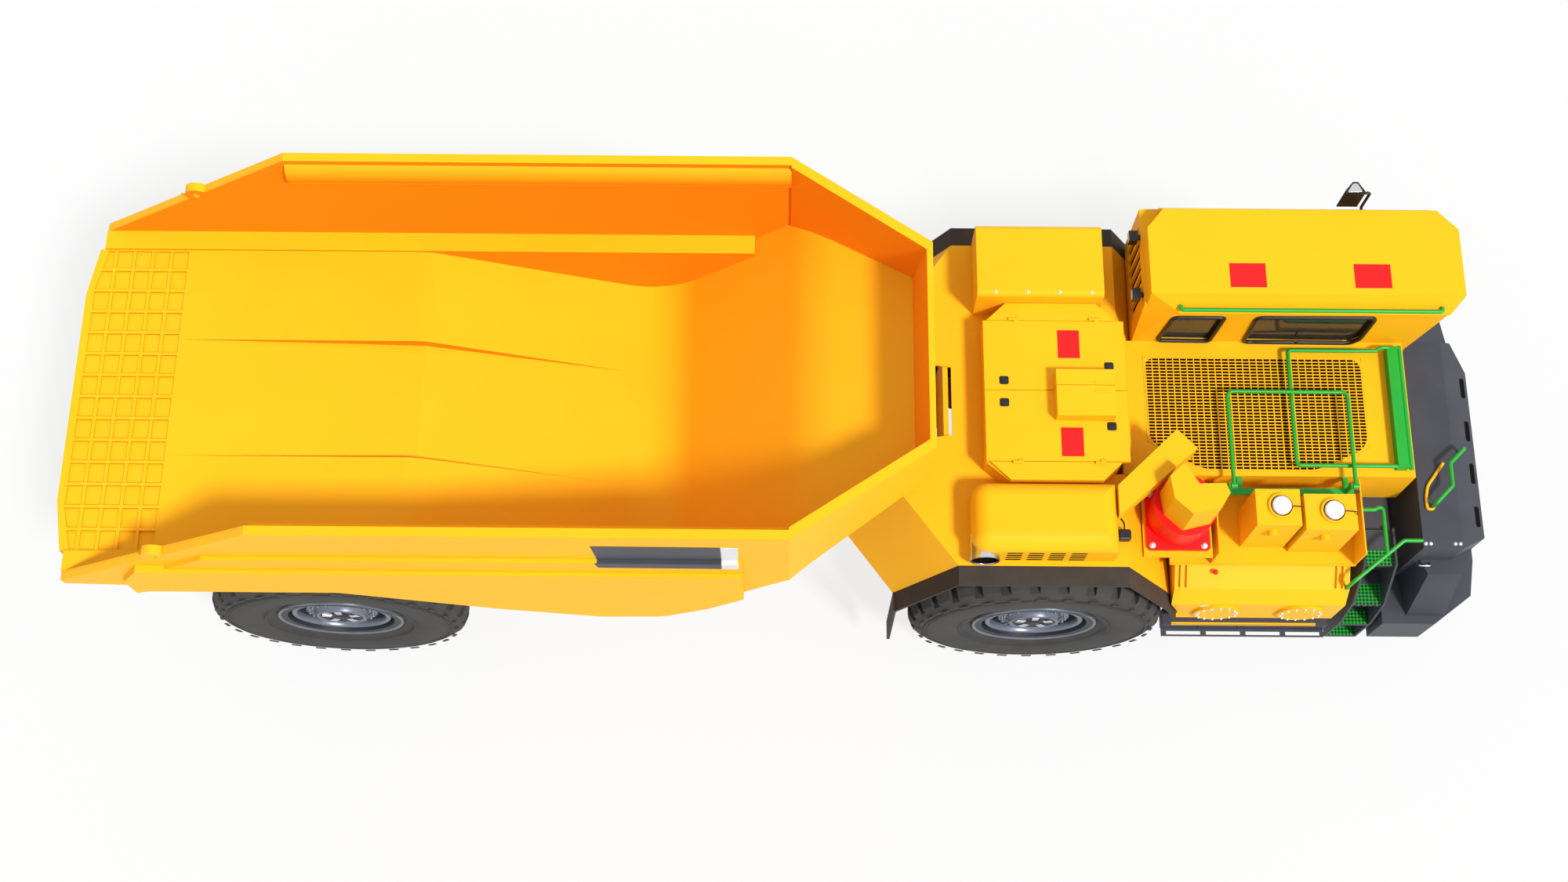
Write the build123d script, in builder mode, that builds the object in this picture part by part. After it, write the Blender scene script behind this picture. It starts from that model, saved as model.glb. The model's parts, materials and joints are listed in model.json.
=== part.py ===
"""Articulated underground mining dump truck, in millimetres.

+X is the front, +Y the left (cab) side and +Z up. The origin is on the ground, under the centre
of the overall box. The machine has a front frame with nose, cab and engine, and a rear frame with
the tipping dump box, joined at a vertical hitch.
"""
import os
from math import hypot

from build123d import *

os.makedirs("parts", exist_ok=True)

# ------------------------------------------------------------------ driving dimensions
tail_x = -5670              # tail lip of the dump box
nose_rear = 4980            # rear face of the nose
bumper_reach = 690          # front of the bumper, ahead of the nose's rear face
nose_depth = 520
half_width = 1560           # belly of the dump box, from the centre line
play = 5                    # room between pieces that move past each other
seat_gap = 0.3              # room between a piece and its seat

# wheels
wheel_radius = 1030
tyre_width = 890
tyre_face = 1538            # outer face of the tyres, from the centre line
tyre_shoulder = 985         # radius at which the side wall meets the tread
lug_count = 28              # round each shoulder
lug_gap_width = 82
lug_gap_depth = 52
lug_gap_reach = 250         # groove between two lugs, inward from the tyre's face
bead_radius = 460
bead_width = 760
flange_radius = 504
flange_thickness = 20
rim_wall = 30
disc_offset = 120           # outward from the middle of the tyre
disc_thickness = 45
hub_radius = 275
hub_length = 115
cap_radius = 190
cap_length = 45
spindle_radius = 110
front_axle_x = 2010
rear_axle_x = -3670
axle_radius = 200
drum_radius = 300
drum_length = 480
banjo_radius = 330
banjo_half_width = 230

# chassis rails, hitch and steering
rail_inside = 280           # rear frame rails, from the centre line
rail_outside = 400
rail_bottom = 1250
rail_top = 1500
rail_dip = 1325             # top of the rear rails under the deepest part of the box
rail_depth = 230
hitch_x = 620
hitch_pin_radius = 70
hitch_eye_radius = 150
hitch_upper = (1350, 1410)  # front frame's upper yoke plate
hitch_lower = (650, 710)    # front frame's lower yoke plate
hitch_arm = 85              # thickness of each rear frame arm
bulkhead_reach = 380        # from the hitch pin to either frame's bulkhead
bulkhead_width = 300        # half width of both bulkheads
steer_front = (1180, 450)   # barrel pivot of the steering cylinders
steer_rear = (-130, 400)    # rod pivot of the steering cylinders
steer_height = 1000
steer_barrel_radius = 75
steer_barrel_length = 830
steer_rod_radius = 38
steer_rod_inside = 450      # piston's distance from the barrel pivot, straight ahead
steer_eye = 70
steer_neck = 115            # closed end of the barrel, from its pivot
steer_eye_height = 170
steer_rear_web = 180        # inner web of the rear brackets, from the centre line
steer_waist = 190           # half width of the rear bulkhead between its arms
steer_front_waist = 225     # half width of the front bulkhead beside the barrels

# tipping gear
tip_x = tail_x + 920
tip_z = 1800
tip_pin_radius = 50
tip_lug_radius = 105
hoist_x = -2550             # barrel pivot
hoist_z = 800
hoist_eye_x = -3050         # rod pivot, box down
hoist_eye_z = 1880
hoist_y = 520
hoist_pin_radius = 50
hoist_eye_radius = 80
hoist_eye_width = 80
hoist_barrel_radius = 85
hoist_sleeve_radius = 66
hoist_rod_radius = 45
hoist_wall = 10
hoist_barrel_length = 1060
hoist_end = 55              # closed end of the barrel, above its pivot pin

# dump box
box_top = 3450
box_step = 30               # each of the two outward steps of the side walls
wall_thickness = 70
shoulder_width = 160        # lower side walls, inside the upper ones
box_outside = half_width - 2 * box_step
box_inside = box_outside - wall_thickness
trough_inside = box_inside - shoulder_width
ledge_height = 2220
floor_thickness = 90
bend_x = -10                # where the side walls turn in
front_x = 1040              # outer face of the front wall at its top
front_inside = 745          # half width inside the front wall
front_wall = 45
front_lean = 75
tail_half = 860             # half width of the tail's straight edge
tail_corner_x = tail_x + 110
rail_rear_x = tail_corner_x + 1720      # rear end of the top rail
upper_fold = 2900
lower_fold = 2640
floor_tail = 2200
floor_points = [(tail_x, floor_tail), (-2930, floor_tail), (-1059, 1457), (150, 2590), (930, 2840)]
floor_bends = [400, 550, 900]
belly_points = [
    (bend_x, 2370), (-640, 1700), (-1000, 1450), (-1500, 1430), (-2300, 1660), (-3450, 2110),
    (tail_corner_x + 660, 2110), (tail_corner_x + 560, 2060), (tail_corner_x, 2110),
]
belly_bends = [150, 250, 300, 600, 300, 40, 40]
grid_pitch = (150, 182)
grid_cell = (125, 158)
grid_depth = 20
grid_columns = 5
grid_rows = 14
grid_half = trough_inside - 15
fold_half = 490             # half width between the two floor folds
bay_rear_x = tail_corner_x + 660
bay_low = floor_tail - 100  # deepest point of the bay between the folds
bay_front = (-1350, 1573)
bay_plate = 70
bay_plate_half = 600
shoulder_front = -300       # front end of the shoulders beside the trough
skirt_front = -350          # front end of the outward steps
roll_low = box_top - 330
roll_high = box_top - 55
roll_depth = 70
eye_x = tail_corner_x + 910
eye_z = 2860
eye_radius = 28
eye_lobe = 90

# front deck, fenders and hood
deck_height = 2250
sheet = 20
fender_inside = 600
fender_outside = 1342
fender_rear = 1290          # rear end of the level fender top at its outer edge
fender_front = 2590
fender_line = [(833, 1420), (fender_rear, deck_height), (fender_front, deck_height), (3020, 1520),
               (3140, 1230)]
deck_rear = 848             # rear edge of the deck beside the hitch
deck_rear_half = 755
notch_x = 1265
notch_half = 285
lip_width = 155
lip_thickness = 25
flap_foot = 480
hood_x = (1500, 2600)
hood_top = 2500
hood_half = 580
hood_base_half = 730
hood_lid = 40
hood_hinges = (1700, 2330)
hood_knuckle = 10           # radius of the hinge knuckles
hood_pin = 5
hatch_x = (2040, 2490)
hatch_y = (-250, 130)
hatch_height = 120
left_box_x = (1450, 2440)
left_box_y = (735, 1340)
left_box_top = 2650
right_box_x = (1380, 2480)
right_box_y = (-1300, -760)
right_box_top = 2600
right_box_round = 130

# radiator deck and right-hand equipment
rad_deck_height = 2120
rad_deck_x = (2610, nose_rear - 80)
rad_deck_y = (-560, 574.7)
grille_x = (2810, 4560)
grille_y = (-520, 440)
grille_thickness = 12
shelf_height = 1750
shelf_x = (3010, 4480)
shelf_y = (-1170, rad_deck_y[0] - seat_gap)
cleaner_centre = (3030, -895)
cleaner_body = (3040, -865)
cleaner_radius = 245
cleaner_flange = 490
cleaner_base = shelf_height + 250
cleaner_top = cleaner_base + 320
guard_height = 430
fillers = [(3571, 343, -1031, -741), (3944, 396, -1065, -777)]   # rear face, length, near and far side
filler_top = shelf_height + 600
filler_neck = 100
filler_lid = 72
tank_x = (3060, shelf_x[1] - 30)
tank_y = (-1430, -640)
tank_z = (960, shelf_height - sheet)
cover_x = (3460, 4140)
cover_radius = 185
cover_z = 1330
tank_feet = (3350, 4100)
sill_x = (3090, tank_x[1])
sill_z = (800, 940)
sill_y = (-1460, -1330)

# nose
nose_top = 1900
nose_bottom = 1050
nose_front = nose_rear + nose_depth
nose_outline = [
    (nose_rear, 680), (nose_front - 120, 680), (nose_front, 440), (nose_front, -960), (nose_front - 200, -1070),
    (nose_rear, -1070),
]
nose_fold_x = nose_front - 210
bumper_front = nose_rear + bumper_reach
bumper_z = (600, 1050)
bumper_outline = [
    (nose_rear - 500, 1380), (nose_rear - 200, 1470), (bumper_front - 370, 1470), (bumper_front - 50, 1230),
    (bumper_front, 930),
]
fairing_foot = [(nose_rear + 20, -940), (nose_rear + 90, -1400), (nose_rear + 400, -1400), (nose_front + 60, -940)]
fairing_crown = [(nose_rear + 20, -940), (nose_rear + 130, -1190), (nose_rear + 400, -1190), (nose_front, -940)]
fairing_top = 1560

# cab
cab_x = (2735, nose_rear - 20)
cab_y = (575, 1450)
cab_floor = 1250
cab_eave = 2720
cab_wall = 55
screen_foot = 2000          # height at which the front of the cab starts to lean forward
screen_top_x = cab_x[1] + 130
roof_top = 2900
roof_x = (2755, cab_x[1] + 207)
roof_y = (cab_y[0] - 15, cab_y[0] + 75, cab_y[1] - 84, cab_y[1] + 10)   # eave, flat top's edges, eave
door_x = (cab_x[1] - 1260, cab_x[1] - 400)
door_z = (1320, 2660)
glass_thickness = 10
seat_x = 3450
mirror_x = (4275, 4440)
mirror_y = cab_y[1] + 110
mirror_z = (2760, 3000)

# handrails
tube_radius = 20
thin_tube = 16
roof_rail_x = (roof_x[0] + 240, roof_x[1] - 160)
eave_rail_z = 2800
bend_radius = 45


# ------------------------------------------------------------------ shapes used throughout
def side_plane(y):
    """Plane at y whose local axes are X and Z; extruding from it goes towards -Y."""
    return Plane(origin=(0, y, 0), x_dir=(1, 0, 0), z_dir=(0, -1, 0))


def cross_plane(x):
    """Plane at x whose local axes are Y and Z; extruding from it goes towards +X."""
    return Plane(origin=(x, 0, 0), x_dir=(0, 1, 0), z_dir=(1, 0, 0))


def prism(plane, points, depth, mode=Mode.ADD):
    """Adds the straight-sided outline, extruded by depth, to the part being built."""
    with BuildSketch(plane) as outline:
        with BuildLine():
            Polyline(*points, close=True)
        make_face()
    extrude(outline.sketch, amount=depth, mode=mode)


def block(x, y, z, mode=Mode.ADD):
    """Adds the box between two limits on each axis."""
    limits = [sorted(pair) for pair in (x, y, z)]
    with Locations(tuple((low + high) / 2 for low, high in limits)):
        Box(*(high - low for low, high in limits), mode=mode)


def bar(centre, y, radius, mode=Mode.ADD):
    """Adds a round bar along Y, centred on centre = (x, z), between two limits of y."""
    with BuildSketch(side_plane(max(y))) as section:
        with Locations(centre):
            Circle(radius)
    extrude(section.sketch, amount=max(y) - min(y), mode=mode)


def post(centre, z, radius, mode=Mode.ADD):
    """Adds a round bar along Z, centred on centre = (x, y), between two limits of z."""
    with BuildSketch(Plane.XY.offset(min(z))) as section:
        with Locations(centre):
            Circle(radius)
    extrude(section.sketch, amount=max(z) - min(z), mode=mode)


def barrel(start, end, radius, mode=Mode.ADD):
    """Adds a round bar between two points."""
    axis = Vector(*end) - Vector(*start)
    with BuildSketch(Plane(origin=start, z_dir=axis)) as section:
        Circle(radius)
    extrude(section.sketch, amount=axis.length, mode=mode)


def tube(points, radius, bend):
    """Adds a round tube along straight runs joined by bends."""
    with BuildLine() as path:
        FilletPolyline(*points, radius=bend)
    with BuildSketch(Plane(origin=path.line @ 0, z_dir=path.line % 0)) as section:
        Circle(radius)
    sweep(section.sketch, path=path.line)


def finish(part, name):
    """Labels the built piece and writes its file."""
    part.label = name
    export_step(part, f"parts/{name}.step")


def along(start, end, distance):
    """Point at a distance from start towards end."""
    step = Vector(*end) - Vector(*start)
    return tuple(Vector(*start) + step.normalized() * distance)


# ------------------------------------------------------------------ wheels
wheel_middle = tyre_face - tyre_width / 2
lug_pitch = 360 / lug_count
corners = [
    (f"{end}_{side}", x, way)
    for end, x in (("front", front_axle_x), ("rear", rear_axle_x))
    for side, way in (("left", 1), ("right", -1))
]


def wheel_plane(x, way):
    """Plane through the wheel's axis: local X is outward, local Y is up."""
    return Plane(origin=(x, way * wheel_middle, wheel_radius), x_dir=(0, way, 0), z_dir=(way, 0, 0))


for corner, axle_x, way in corners:
    wheel_axis = Axis((axle_x, 0, wheel_radius), (0, 1, 0))
    half_tread = tyre_width / 2
    with BuildPart() as tyre:
        with BuildSketch(wheel_plane(axle_x, way)):
            with BuildLine():
                tread = Polyline(
                    (-half_tread + 15, tyre_shoulder - 45), (-half_tread + 60, tyre_shoulder + 20),
                    (-half_tread + 130, wheel_radius), (half_tread - 130, wheel_radius),
                    (half_tread - 60, tyre_shoulder + 20), (half_tread - 15, tyre_shoulder - 45),
                )
                outer_wall = ThreePointArc(
                    tread @ 1, (half_tread, (tyre_shoulder + bead_radius) / 2),
                    (bead_width / 2, flange_radius),
                )
                bead = Polyline(
                    outer_wall @ 1, (bead_width / 2, bead_radius), (-bead_width / 2, bead_radius),
                    (-bead_width / 2, flange_radius),
                )
                ThreePointArc(
                    bead @ 1, (-half_tread, (tyre_shoulder + bead_radius) / 2), tread @ 0
                )
            make_face()
        revolve(axis=wheel_axis)
        # grooves between the lugs, half a pitch apart on the two shoulders
        for face_way in (1, -1):
            start = face_way * (half_tread - lug_gap_reach)
            with BuildSketch(Plane(origin=(axle_x, way * (wheel_middle + start), wheel_radius),
                                   x_dir=(1, 0, 0), z_dir=(0, way * face_way, 0))) as grooves:
                with PolarLocations(wheel_radius - lug_gap_depth + 60, lug_count, start_angle=lug_pitch / 2 + (
                        0 if face_way > 0 else lug_pitch / 2)):
                    Rectangle(120, lug_gap_width)
            extrude(grooves.sketch, amount=lug_gap_reach + 5, mode=Mode.SUBTRACT)
    finish(tyre.part, f"tyre_{corner}")

    rim_out = bead_width / 2 + flange_thickness
    barrel_out = bead_radius - seat_gap
    barrel_in = barrel_out - rim_wall
    disc_in = disc_offset
    disc_out = disc_offset + disc_thickness
    with BuildPart() as rim:
        with BuildSketch(wheel_plane(axle_x, way)):
            with BuildLine():
                Polyline(
                    (-rim_out, barrel_in), (-rim_out, flange_radius),
                    (-bead_width / 2 - seat_gap, flange_radius), (-bead_width / 2 - seat_gap, barrel_out),
                    (bead_width / 2 + seat_gap, barrel_out), (bead_width / 2 + seat_gap, flange_radius),
                    (rim_out, flange_radius), (rim_out, barrel_in),
                    (disc_out, barrel_in - 40), (disc_out, hub_radius),
                    (disc_out + hub_length, hub_radius), (disc_out + hub_length, cap_radius),
                    (disc_out + hub_length + cap_length, cap_radius),
                    (disc_out + hub_length + cap_length, 0), (disc_out + hub_length, 0),
                    (disc_out + hub_length, spindle_radius), (disc_in, spindle_radius),
                    (disc_in, barrel_in - 40), (disc_in - 60, barrel_in),
                    close=True,
                )
            make_face()
        revolve(axis=wheel_axis)
    finish(rim.part, f"rim_{corner}")

# ------------------------------------------------------------------ axles
drum_end = wheel_middle + disc_offset - play
spindle_end = wheel_middle + disc_offset + disc_thickness + hub_length - play
for end, axle_x in (("front", front_axle_x), ("rear", rear_axle_x)):
    centre = (axle_x, wheel_radius)
    with BuildPart() as axle:
        bar(centre, (-drum_end, drum_end), axle_radius)
        bar(centre, (-banjo_half_width, banjo_half_width), banjo_radius)
        for way in (1, -1):
            bar(centre, (way * (drum_end - drum_length), way * drum_end), drum_radius)
            bar(centre, (way * (drum_end - play), way * spindle_end), spindle_radius - seat_gap)
    finish(axle.part, f"{end}_axle")

# ------------------------------------------------------------------ front chassis
steer_pin = 35
steer_plate = 30
steer_gap = (steer_height - steer_eye_height / 2 - play, steer_height + steer_eye_height / 2 + play)
steer_plates = (steer_gap[0] - steer_plate, steer_gap[1])
front_bulkhead = hitch_x + bulkhead_reach
chassis_inside = banjo_radius
chassis_outside = chassis_inside + 120
chassis_top = 1600
yoke_taper = 90
with BuildPart() as front_chassis:
    for way in (1, -1):
        block((front_bulkhead, nose_rear - seat_gap), (way * chassis_inside, way * chassis_outside),
              (rail_bottom, chassis_top))
        block((front_axle_x - 110, front_axle_x + 110), (way * chassis_inside, way * chassis_outside),
              (wheel_radius, rail_bottom))
    block((front_bulkhead, front_bulkhead + 100), (-bulkhead_width, bulkhead_width),
          (hitch_lower[0] - 40, chassis_top))
    for x in (front_bulkhead, 2950, 4750):
        block((x, x + 100), (-chassis_inside, chassis_inside), (rail_bottom, chassis_top))
    for low, high in (hitch_upper, hitch_lower):
        with BuildSketch(Plane.XY.offset(low)) as yoke:
            with BuildLine():
                Polyline((front_bulkhead, bulkhead_width), (hitch_x, hitch_eye_radius),
                         (hitch_x, -hitch_eye_radius), (front_bulkhead, -bulkhead_width), close=True)
            make_face()
            with Locations((hitch_x, 0)):
                Circle(hitch_eye_radius)
                Circle(hitch_pin_radius, mode=Mode.SUBTRACT)
        extrude(yoke.sketch, amount=high - low)
    for way in (1, -1):
        # room for the swinging barrel beside the bulkhead, and the two plates that hold its pin
        block((front_bulkhead - 1, front_bulkhead + 101), (way * steer_front_waist, way * (bulkhead_width + 1)),
              steer_gap, mode=Mode.SUBTRACT)
        for low in steer_plates:
            block((front_bulkhead, steer_front[0] + steer_eye),
                  (way * (steer_front_waist - 40), way * (steer_front[1] + steer_eye)), (low, low + steer_plate))
        post((steer_front[0], way * steer_front[1]), steer_gap, steer_pin - seat_gap)
    bar((front_axle_x, wheel_radius), (-chassis_outside, chassis_outside), axle_radius + seat_gap,
        mode=Mode.SUBTRACT)
finish(front_chassis.part, "front_chassis")

# ------------------------------------------------------------------ rear frame
rear_bulkhead = hitch_x - bulkhead_reach
rear_end = tip_x - 200
bracket_y = (375, 455)
upper_arm = (hitch_upper[0] - seat_gap - hitch_arm, hitch_upper[0] - seat_gap)
lower_arm = (hitch_lower[1] + seat_gap, hitch_lower[1] + seat_gap + hitch_arm)
rail_profile = [
    (rear_end, rail_bottom), (rear_end, rail_top), (-2100, rail_top), (-1750, rail_dip), (-600, rail_dip),
    (-350, rail_top), (rear_bulkhead, rail_top), (rear_bulkhead, rail_bottom), (-250, rail_bottom),
    (-500, rail_dip - rail_depth), (-1850, rail_dip - rail_depth), (-2150, rail_bottom),
]
with BuildPart() as rear_frame:
    for way in (1, -1):
        prism(side_plane(max(way * rail_inside, way * rail_outside)), rail_profile, rail_outside - rail_inside)
        block((rear_axle_x - 110, rear_axle_x + 110), (way * rail_inside, way * rail_outside),
              (wheel_radius, rail_bottom))
        block((hoist_x - 120, hoist_x + 120), (way * rail_inside, way * rail_outside),
              (hoist_z - 90, rail_bottom))
        prism(side_plane(max(way * bracket_y[0], way * bracket_y[1])), [
            (tip_x - 190, rail_top - 120), (tip_x - tip_lug_radius, tip_z),
            (tip_x - 60, tip_z + tip_lug_radius), (tip_x + 60, tip_z + tip_lug_radius),
            (tip_x + tip_lug_radius, tip_z), (tip_x + 230, rail_top - 120),
        ], bracket_y[1] - bracket_y[0])
        bar((tip_x, tip_z), (way * 290, way * bracket_y[1]), tip_pin_radius)
        for low in steer_plates:
            block((steer_rear[0] - 130, steer_rear[0] + 90), (way * steer_rear_web, way * (steer_rear[1] + 60)),
                  (low, low + steer_plate))
        block((steer_rear[0] - 130, rear_bulkhead), (way * (steer_rear_web - 25), way * steer_rear_web),
              (steer_plates[0], rail_bottom))
    block((rear_bulkhead - 100, rear_bulkhead), (-bulkhead_width, bulkhead_width),
          (lower_arm[0] - 40, rail_top))
    for way in (1, -1):
        block((rear_bulkhead - 101, rear_bulkhead + 1), (way * steer_waist, way * (bulkhead_width + 1)),
              steer_gap, mode=Mode.SUBTRACT)
    for x, top in ((rear_end, rail_top), (-2300, rail_top), (-1150, rail_dip)):
        block((x, x + 100), (-rail_inside, rail_inside), (top - rail_depth, top))
    block((hoist_x - 60, hoist_x + 60), (-rail_inside, rail_inside), (hoist_z - 60, hoist_z + 60))
    bar((hoist_x, hoist_z), (-hoist_y - 60, hoist_y + 60), hoist_pin_radius)
    for low, high in (upper_arm, lower_arm):
        with BuildSketch(Plane.XY.offset(low)) as arm:
            with BuildLine():
                Polyline((rear_bulkhead, bulkhead_width), (hitch_x, hitch_eye_radius),
                         (hitch_x, -hitch_eye_radius), (rear_bulkhead, -bulkhead_width), close=True)
            make_face()
            with Locations((hitch_x, 0)):
                Circle(hitch_eye_radius)
        extrude(arm.sketch, amount=high - low)
    post((hitch_x, 0), (upper_arm[0], hitch_upper[1] + 30), hitch_pin_radius - seat_gap)
    post((hitch_x, 0), (hitch_lower[0] - 30, lower_arm[1]), hitch_pin_radius - seat_gap)
    bar((rear_axle_x, wheel_radius), (-rail_outside, rail_outside), axle_radius + seat_gap,
        mode=Mode.SUBTRACT)
finish(rear_frame.part, "rear_frame")

# ------------------------------------------------------------------ dump box
web_y = (290, bracket_y[0] - play)
lug_gap = hoist_eye_width / 2 + play
lug_plate = 20


def floor_line(drop):
    """Floor profile of the box, lowered by drop."""
    return FilletPolyline(*[(x, z - drop) for x, z in floor_points], radius=floor_bends)


roll_seat = box_inside - seat_gap
plate_joint = belly_points[5][0]        # upright joint between the front and rear plates of each side

# side walls with their two outward steps, and the solid shoulders beside the trough
for side, way in (("left", 1), ("right", -1)):
    # inner face, outer face, outline in X and Z
    slabs = [
        (box_inside, box_outside, [(tail_corner_x, ledge_height - 20), (rail_rear_x, box_top),
                                   (bend_x, box_top), (bend_x, 1400), (tail_corner_x, 1400)]),
        (box_outside - 1, box_outside + box_step, [
            (tail_corner_x + 630, 2420), (tail_corner_x + 1270, upper_fold), (skirt_front, upper_fold),
            (skirt_front, 1400), (tail_corner_x + 630, 1400)]),
        (box_outside - 1, half_width, [
            (tail_corner_x + 550, 2380), (tail_corner_x + 710, lower_fold), (skirt_front, lower_fold),
            (skirt_front, 1400), (tail_corner_x + 550, 1400)]),
        (trough_inside, box_inside - seat_gap, [(tail_corner_x, ledge_height), (shoulder_front, ledge_height),
                                         (shoulder_front, 1400), (tail_corner_x, 1400)]),
    ]
    with BuildPart() as box_side:
        for inner, outer, outline in slabs:
            prism(side_plane(max(way * inner, way * outer)), outline, outer - inner)
        # rolled stiffener under the top rail
        with BuildSketch(cross_plane(rail_rear_x)) as roll:
            with BuildLine():
                bulge = ThreePointArc(
                    (way * roll_seat, roll_low), (way * (box_inside - roll_depth), (roll_low + roll_high) / 2),
                    (way * roll_seat, roll_high),
                )
                Line(bulge @ 0, bulge @ 1)
            make_face()
        extrude(roll.sketch, amount=bend_x - rail_rear_x)
        bar((eye_x, eye_z), (way * box_inside, way * box_outside), eye_lobe)
        # everything below the belly line goes
        with BuildSketch(side_plane(half_width + 1)) as below_belly:
            with BuildLine():
                belly = FilletPolyline(*belly_points, radius=belly_bends)
                Polyline(belly @ 1, (tail_corner_x - 10, belly_points[-1][1]), (tail_corner_x - 10, 1300),
                         (bend_x + 10, 1300), (bend_x + 10, belly_points[0][1]), belly @ 0)
            make_face()
        extrude(below_belly.sketch, amount=2 * half_width + 2, mode=Mode.SUBTRACT)
        # slanted corner of the tail
        prism(Plane.XY.offset(1000), [
            (tail_x - 1, way * tail_half), (tail_corner_x, way * box_outside), (tail_x - 1, way * (half_width + 10)),
        ], 3000, mode=Mode.SUBTRACT)
        bar((eye_x, eye_z), (way * (box_inside - 100), way * (half_width + 10)), eye_radius, mode=Mode.SUBTRACT)
        block((plate_joint - seat_gap, plate_joint), (way * (box_inside - roll_depth - 200), way * (half_width + 10)),
              (1000, roll_low - 20), mode=Mode.SUBTRACT)
        block((plate_joint - seat_gap, plate_joint), (way * roll_seat, way * (half_width + 10)),
              (roll_low - 21, box_top + 10), mode=Mode.SUBTRACT)
    finish(box_side.part, f"box_side_{side}")

floor_half = trough_inside - seat_gap
front_floor_half = box_inside - seat_gap
with BuildPart() as dump_box:
    # floor and front slope, narrower between the shoulders
    with BuildSketch(side_plane(front_floor_half)) as floor:
        with BuildLine():
            top = floor_line(0)
            bottom = floor_line(floor_thickness)
            Line(top @ 0, bottom @ 0)
            Line(top @ 1, bottom @ 1)
        make_face()
    extrude(floor.sketch, amount=2 * front_floor_half)
    prism(side_plane(bay_plate_half), [
        (bay_rear_x + 400, floor_tail - floor_thickness + 5), (floor_points[1][0], bay_low - bay_plate),
        (bay_front[0] - 250, bay_front[1] + 17), (bay_front[0] - 250, bay_front[1] + 67),
        (floor_points[1][0], floor_tail - 50), (bay_rear_x + 400, floor_tail - 50),
    ], 2 * bay_plate_half)
    for way in (1, -1):
        block((tail_x - 1, shoulder_front + seat_gap), (way * floor_half, way * half_width), (1300, ledge_height + 10),
              mode=Mode.SUBTRACT)
        # walls that turn in towards the front
        prism(Plane.XY.offset(1900), [
            (bend_x + seat_gap, way * box_outside), (front_x, way * (front_inside + 60)),
            (front_x, way * front_inside), (front_x - 45, way * front_inside),
            (bend_x + seat_gap, way * (box_inside - 20)),
        ], box_top - 1900)
    # front wall, leaning forward
    prism(side_plane(front_inside + 30), [
        (front_x - front_lean - front_wall, floor_points[-1][1] - floor_thickness),
        (front_x - front_lean, floor_points[-1][1] - floor_thickness), (front_x, box_top),
        (front_x - front_wall, box_top),
    ], 2 * (front_inside + 30))
    # what lies outside the turned-in walls, under the front slope or past the tail's corners goes
    for way in (1, -1):
        prism(Plane.XY.offset(1000), [
            (bend_x, way * box_outside), (front_x + 1, way * (front_inside + 60)),
            (front_x + 1, way * (half_width + 100)), (bend_x, way * (half_width + 100)),
        ], 3000, mode=Mode.SUBTRACT)
        prism(Plane.XY.offset(1000), [
            (tail_x - 1, way * tail_half), (tail_corner_x, way * box_outside),
            (tail_x - 1, way * (box_outside + 10)),
        ], 3000, mode=Mode.SUBTRACT)
    wall_foot = [(bend_x + seat_gap - 1, belly_points[0][1] - 25), (150, 2450), (930, 2728), (front_x + 10, 2768)]
    prism(side_plane(half_width + 1), wall_foot + [(front_x + 10, 1000), (bend_x + seat_gap - 1, 1000)],
          2 * (half_width + 1), mode=Mode.SUBTRACT)
    # joints between the floor, the turned-in walls and the front wall
    prism(side_plane(half_width), [
        (front_x - front_lean - front_wall - seat_gap, floor_points[-1][1] - floor_thickness - 1),
        (front_x - front_lean - front_wall, floor_points[-1][1] - floor_thickness - 1),
        (front_x - front_wall, box_top + 1), (front_x - front_wall - seat_gap, box_top + 1),
    ], 2 * half_width, mode=Mode.SUBTRACT)
    for way in (1, -1):
        prism(Plane.XY.offset(1000), [
            (bend_x - 1, way * (box_inside - 19.1)), (front_x + 1, way * (front_inside - 30.4)),
            (front_x + 1, way * (front_inside - 30.4 - 1.2 * seat_gap)),
            (bend_x - 1, way * (box_inside - 19.1 - 1.2 * seat_gap)),
        ], 3000, mode=Mode.SUBTRACT)
        block((bend_x, bend_x + seat_gap), (way * (box_inside - 21), way * half_width), (1000, 4000),
              mode=Mode.SUBTRACT)
    # bay between the two floor folds, deepest where the floor turns down
    prism(side_plane(fold_half), [
        (bay_rear_x, floor_tail + 1), (floor_points[1][0], bay_low), bay_front,
        (bay_front[0], bay_front[1] + 67), (floor_points[1][0], floor_tail + 60),
    ], 2 * fold_half, mode=Mode.SUBTRACT)
    # shallow pockets of the tail grid
    with BuildSketch(Plane.XY.offset(floor_tail - grid_depth)) as cells:
        with Locations((tail_x + 50 + grid_columns * grid_pitch[0] / 2, 0)):
            with GridLocations(*grid_pitch, grid_columns, grid_rows):
                Rectangle(*grid_cell)
        with BuildSketch(mode=Mode.INTERSECT):
            with BuildLine():
                Polyline((tail_x + 45, -tail_half + 20), (tail_x + 45, tail_half - 20),
                         (tail_corner_x + 30, grid_half), (tail_corner_x + 860, grid_half),
                         (tail_corner_x + 860, -grid_half), (tail_corner_x + 30, -grid_half), close=True)
            make_face()
    extrude(cells.sketch, amount=200, mode=Mode.SUBTRACT)
finish(dump_box.part, "dump_box")

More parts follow.
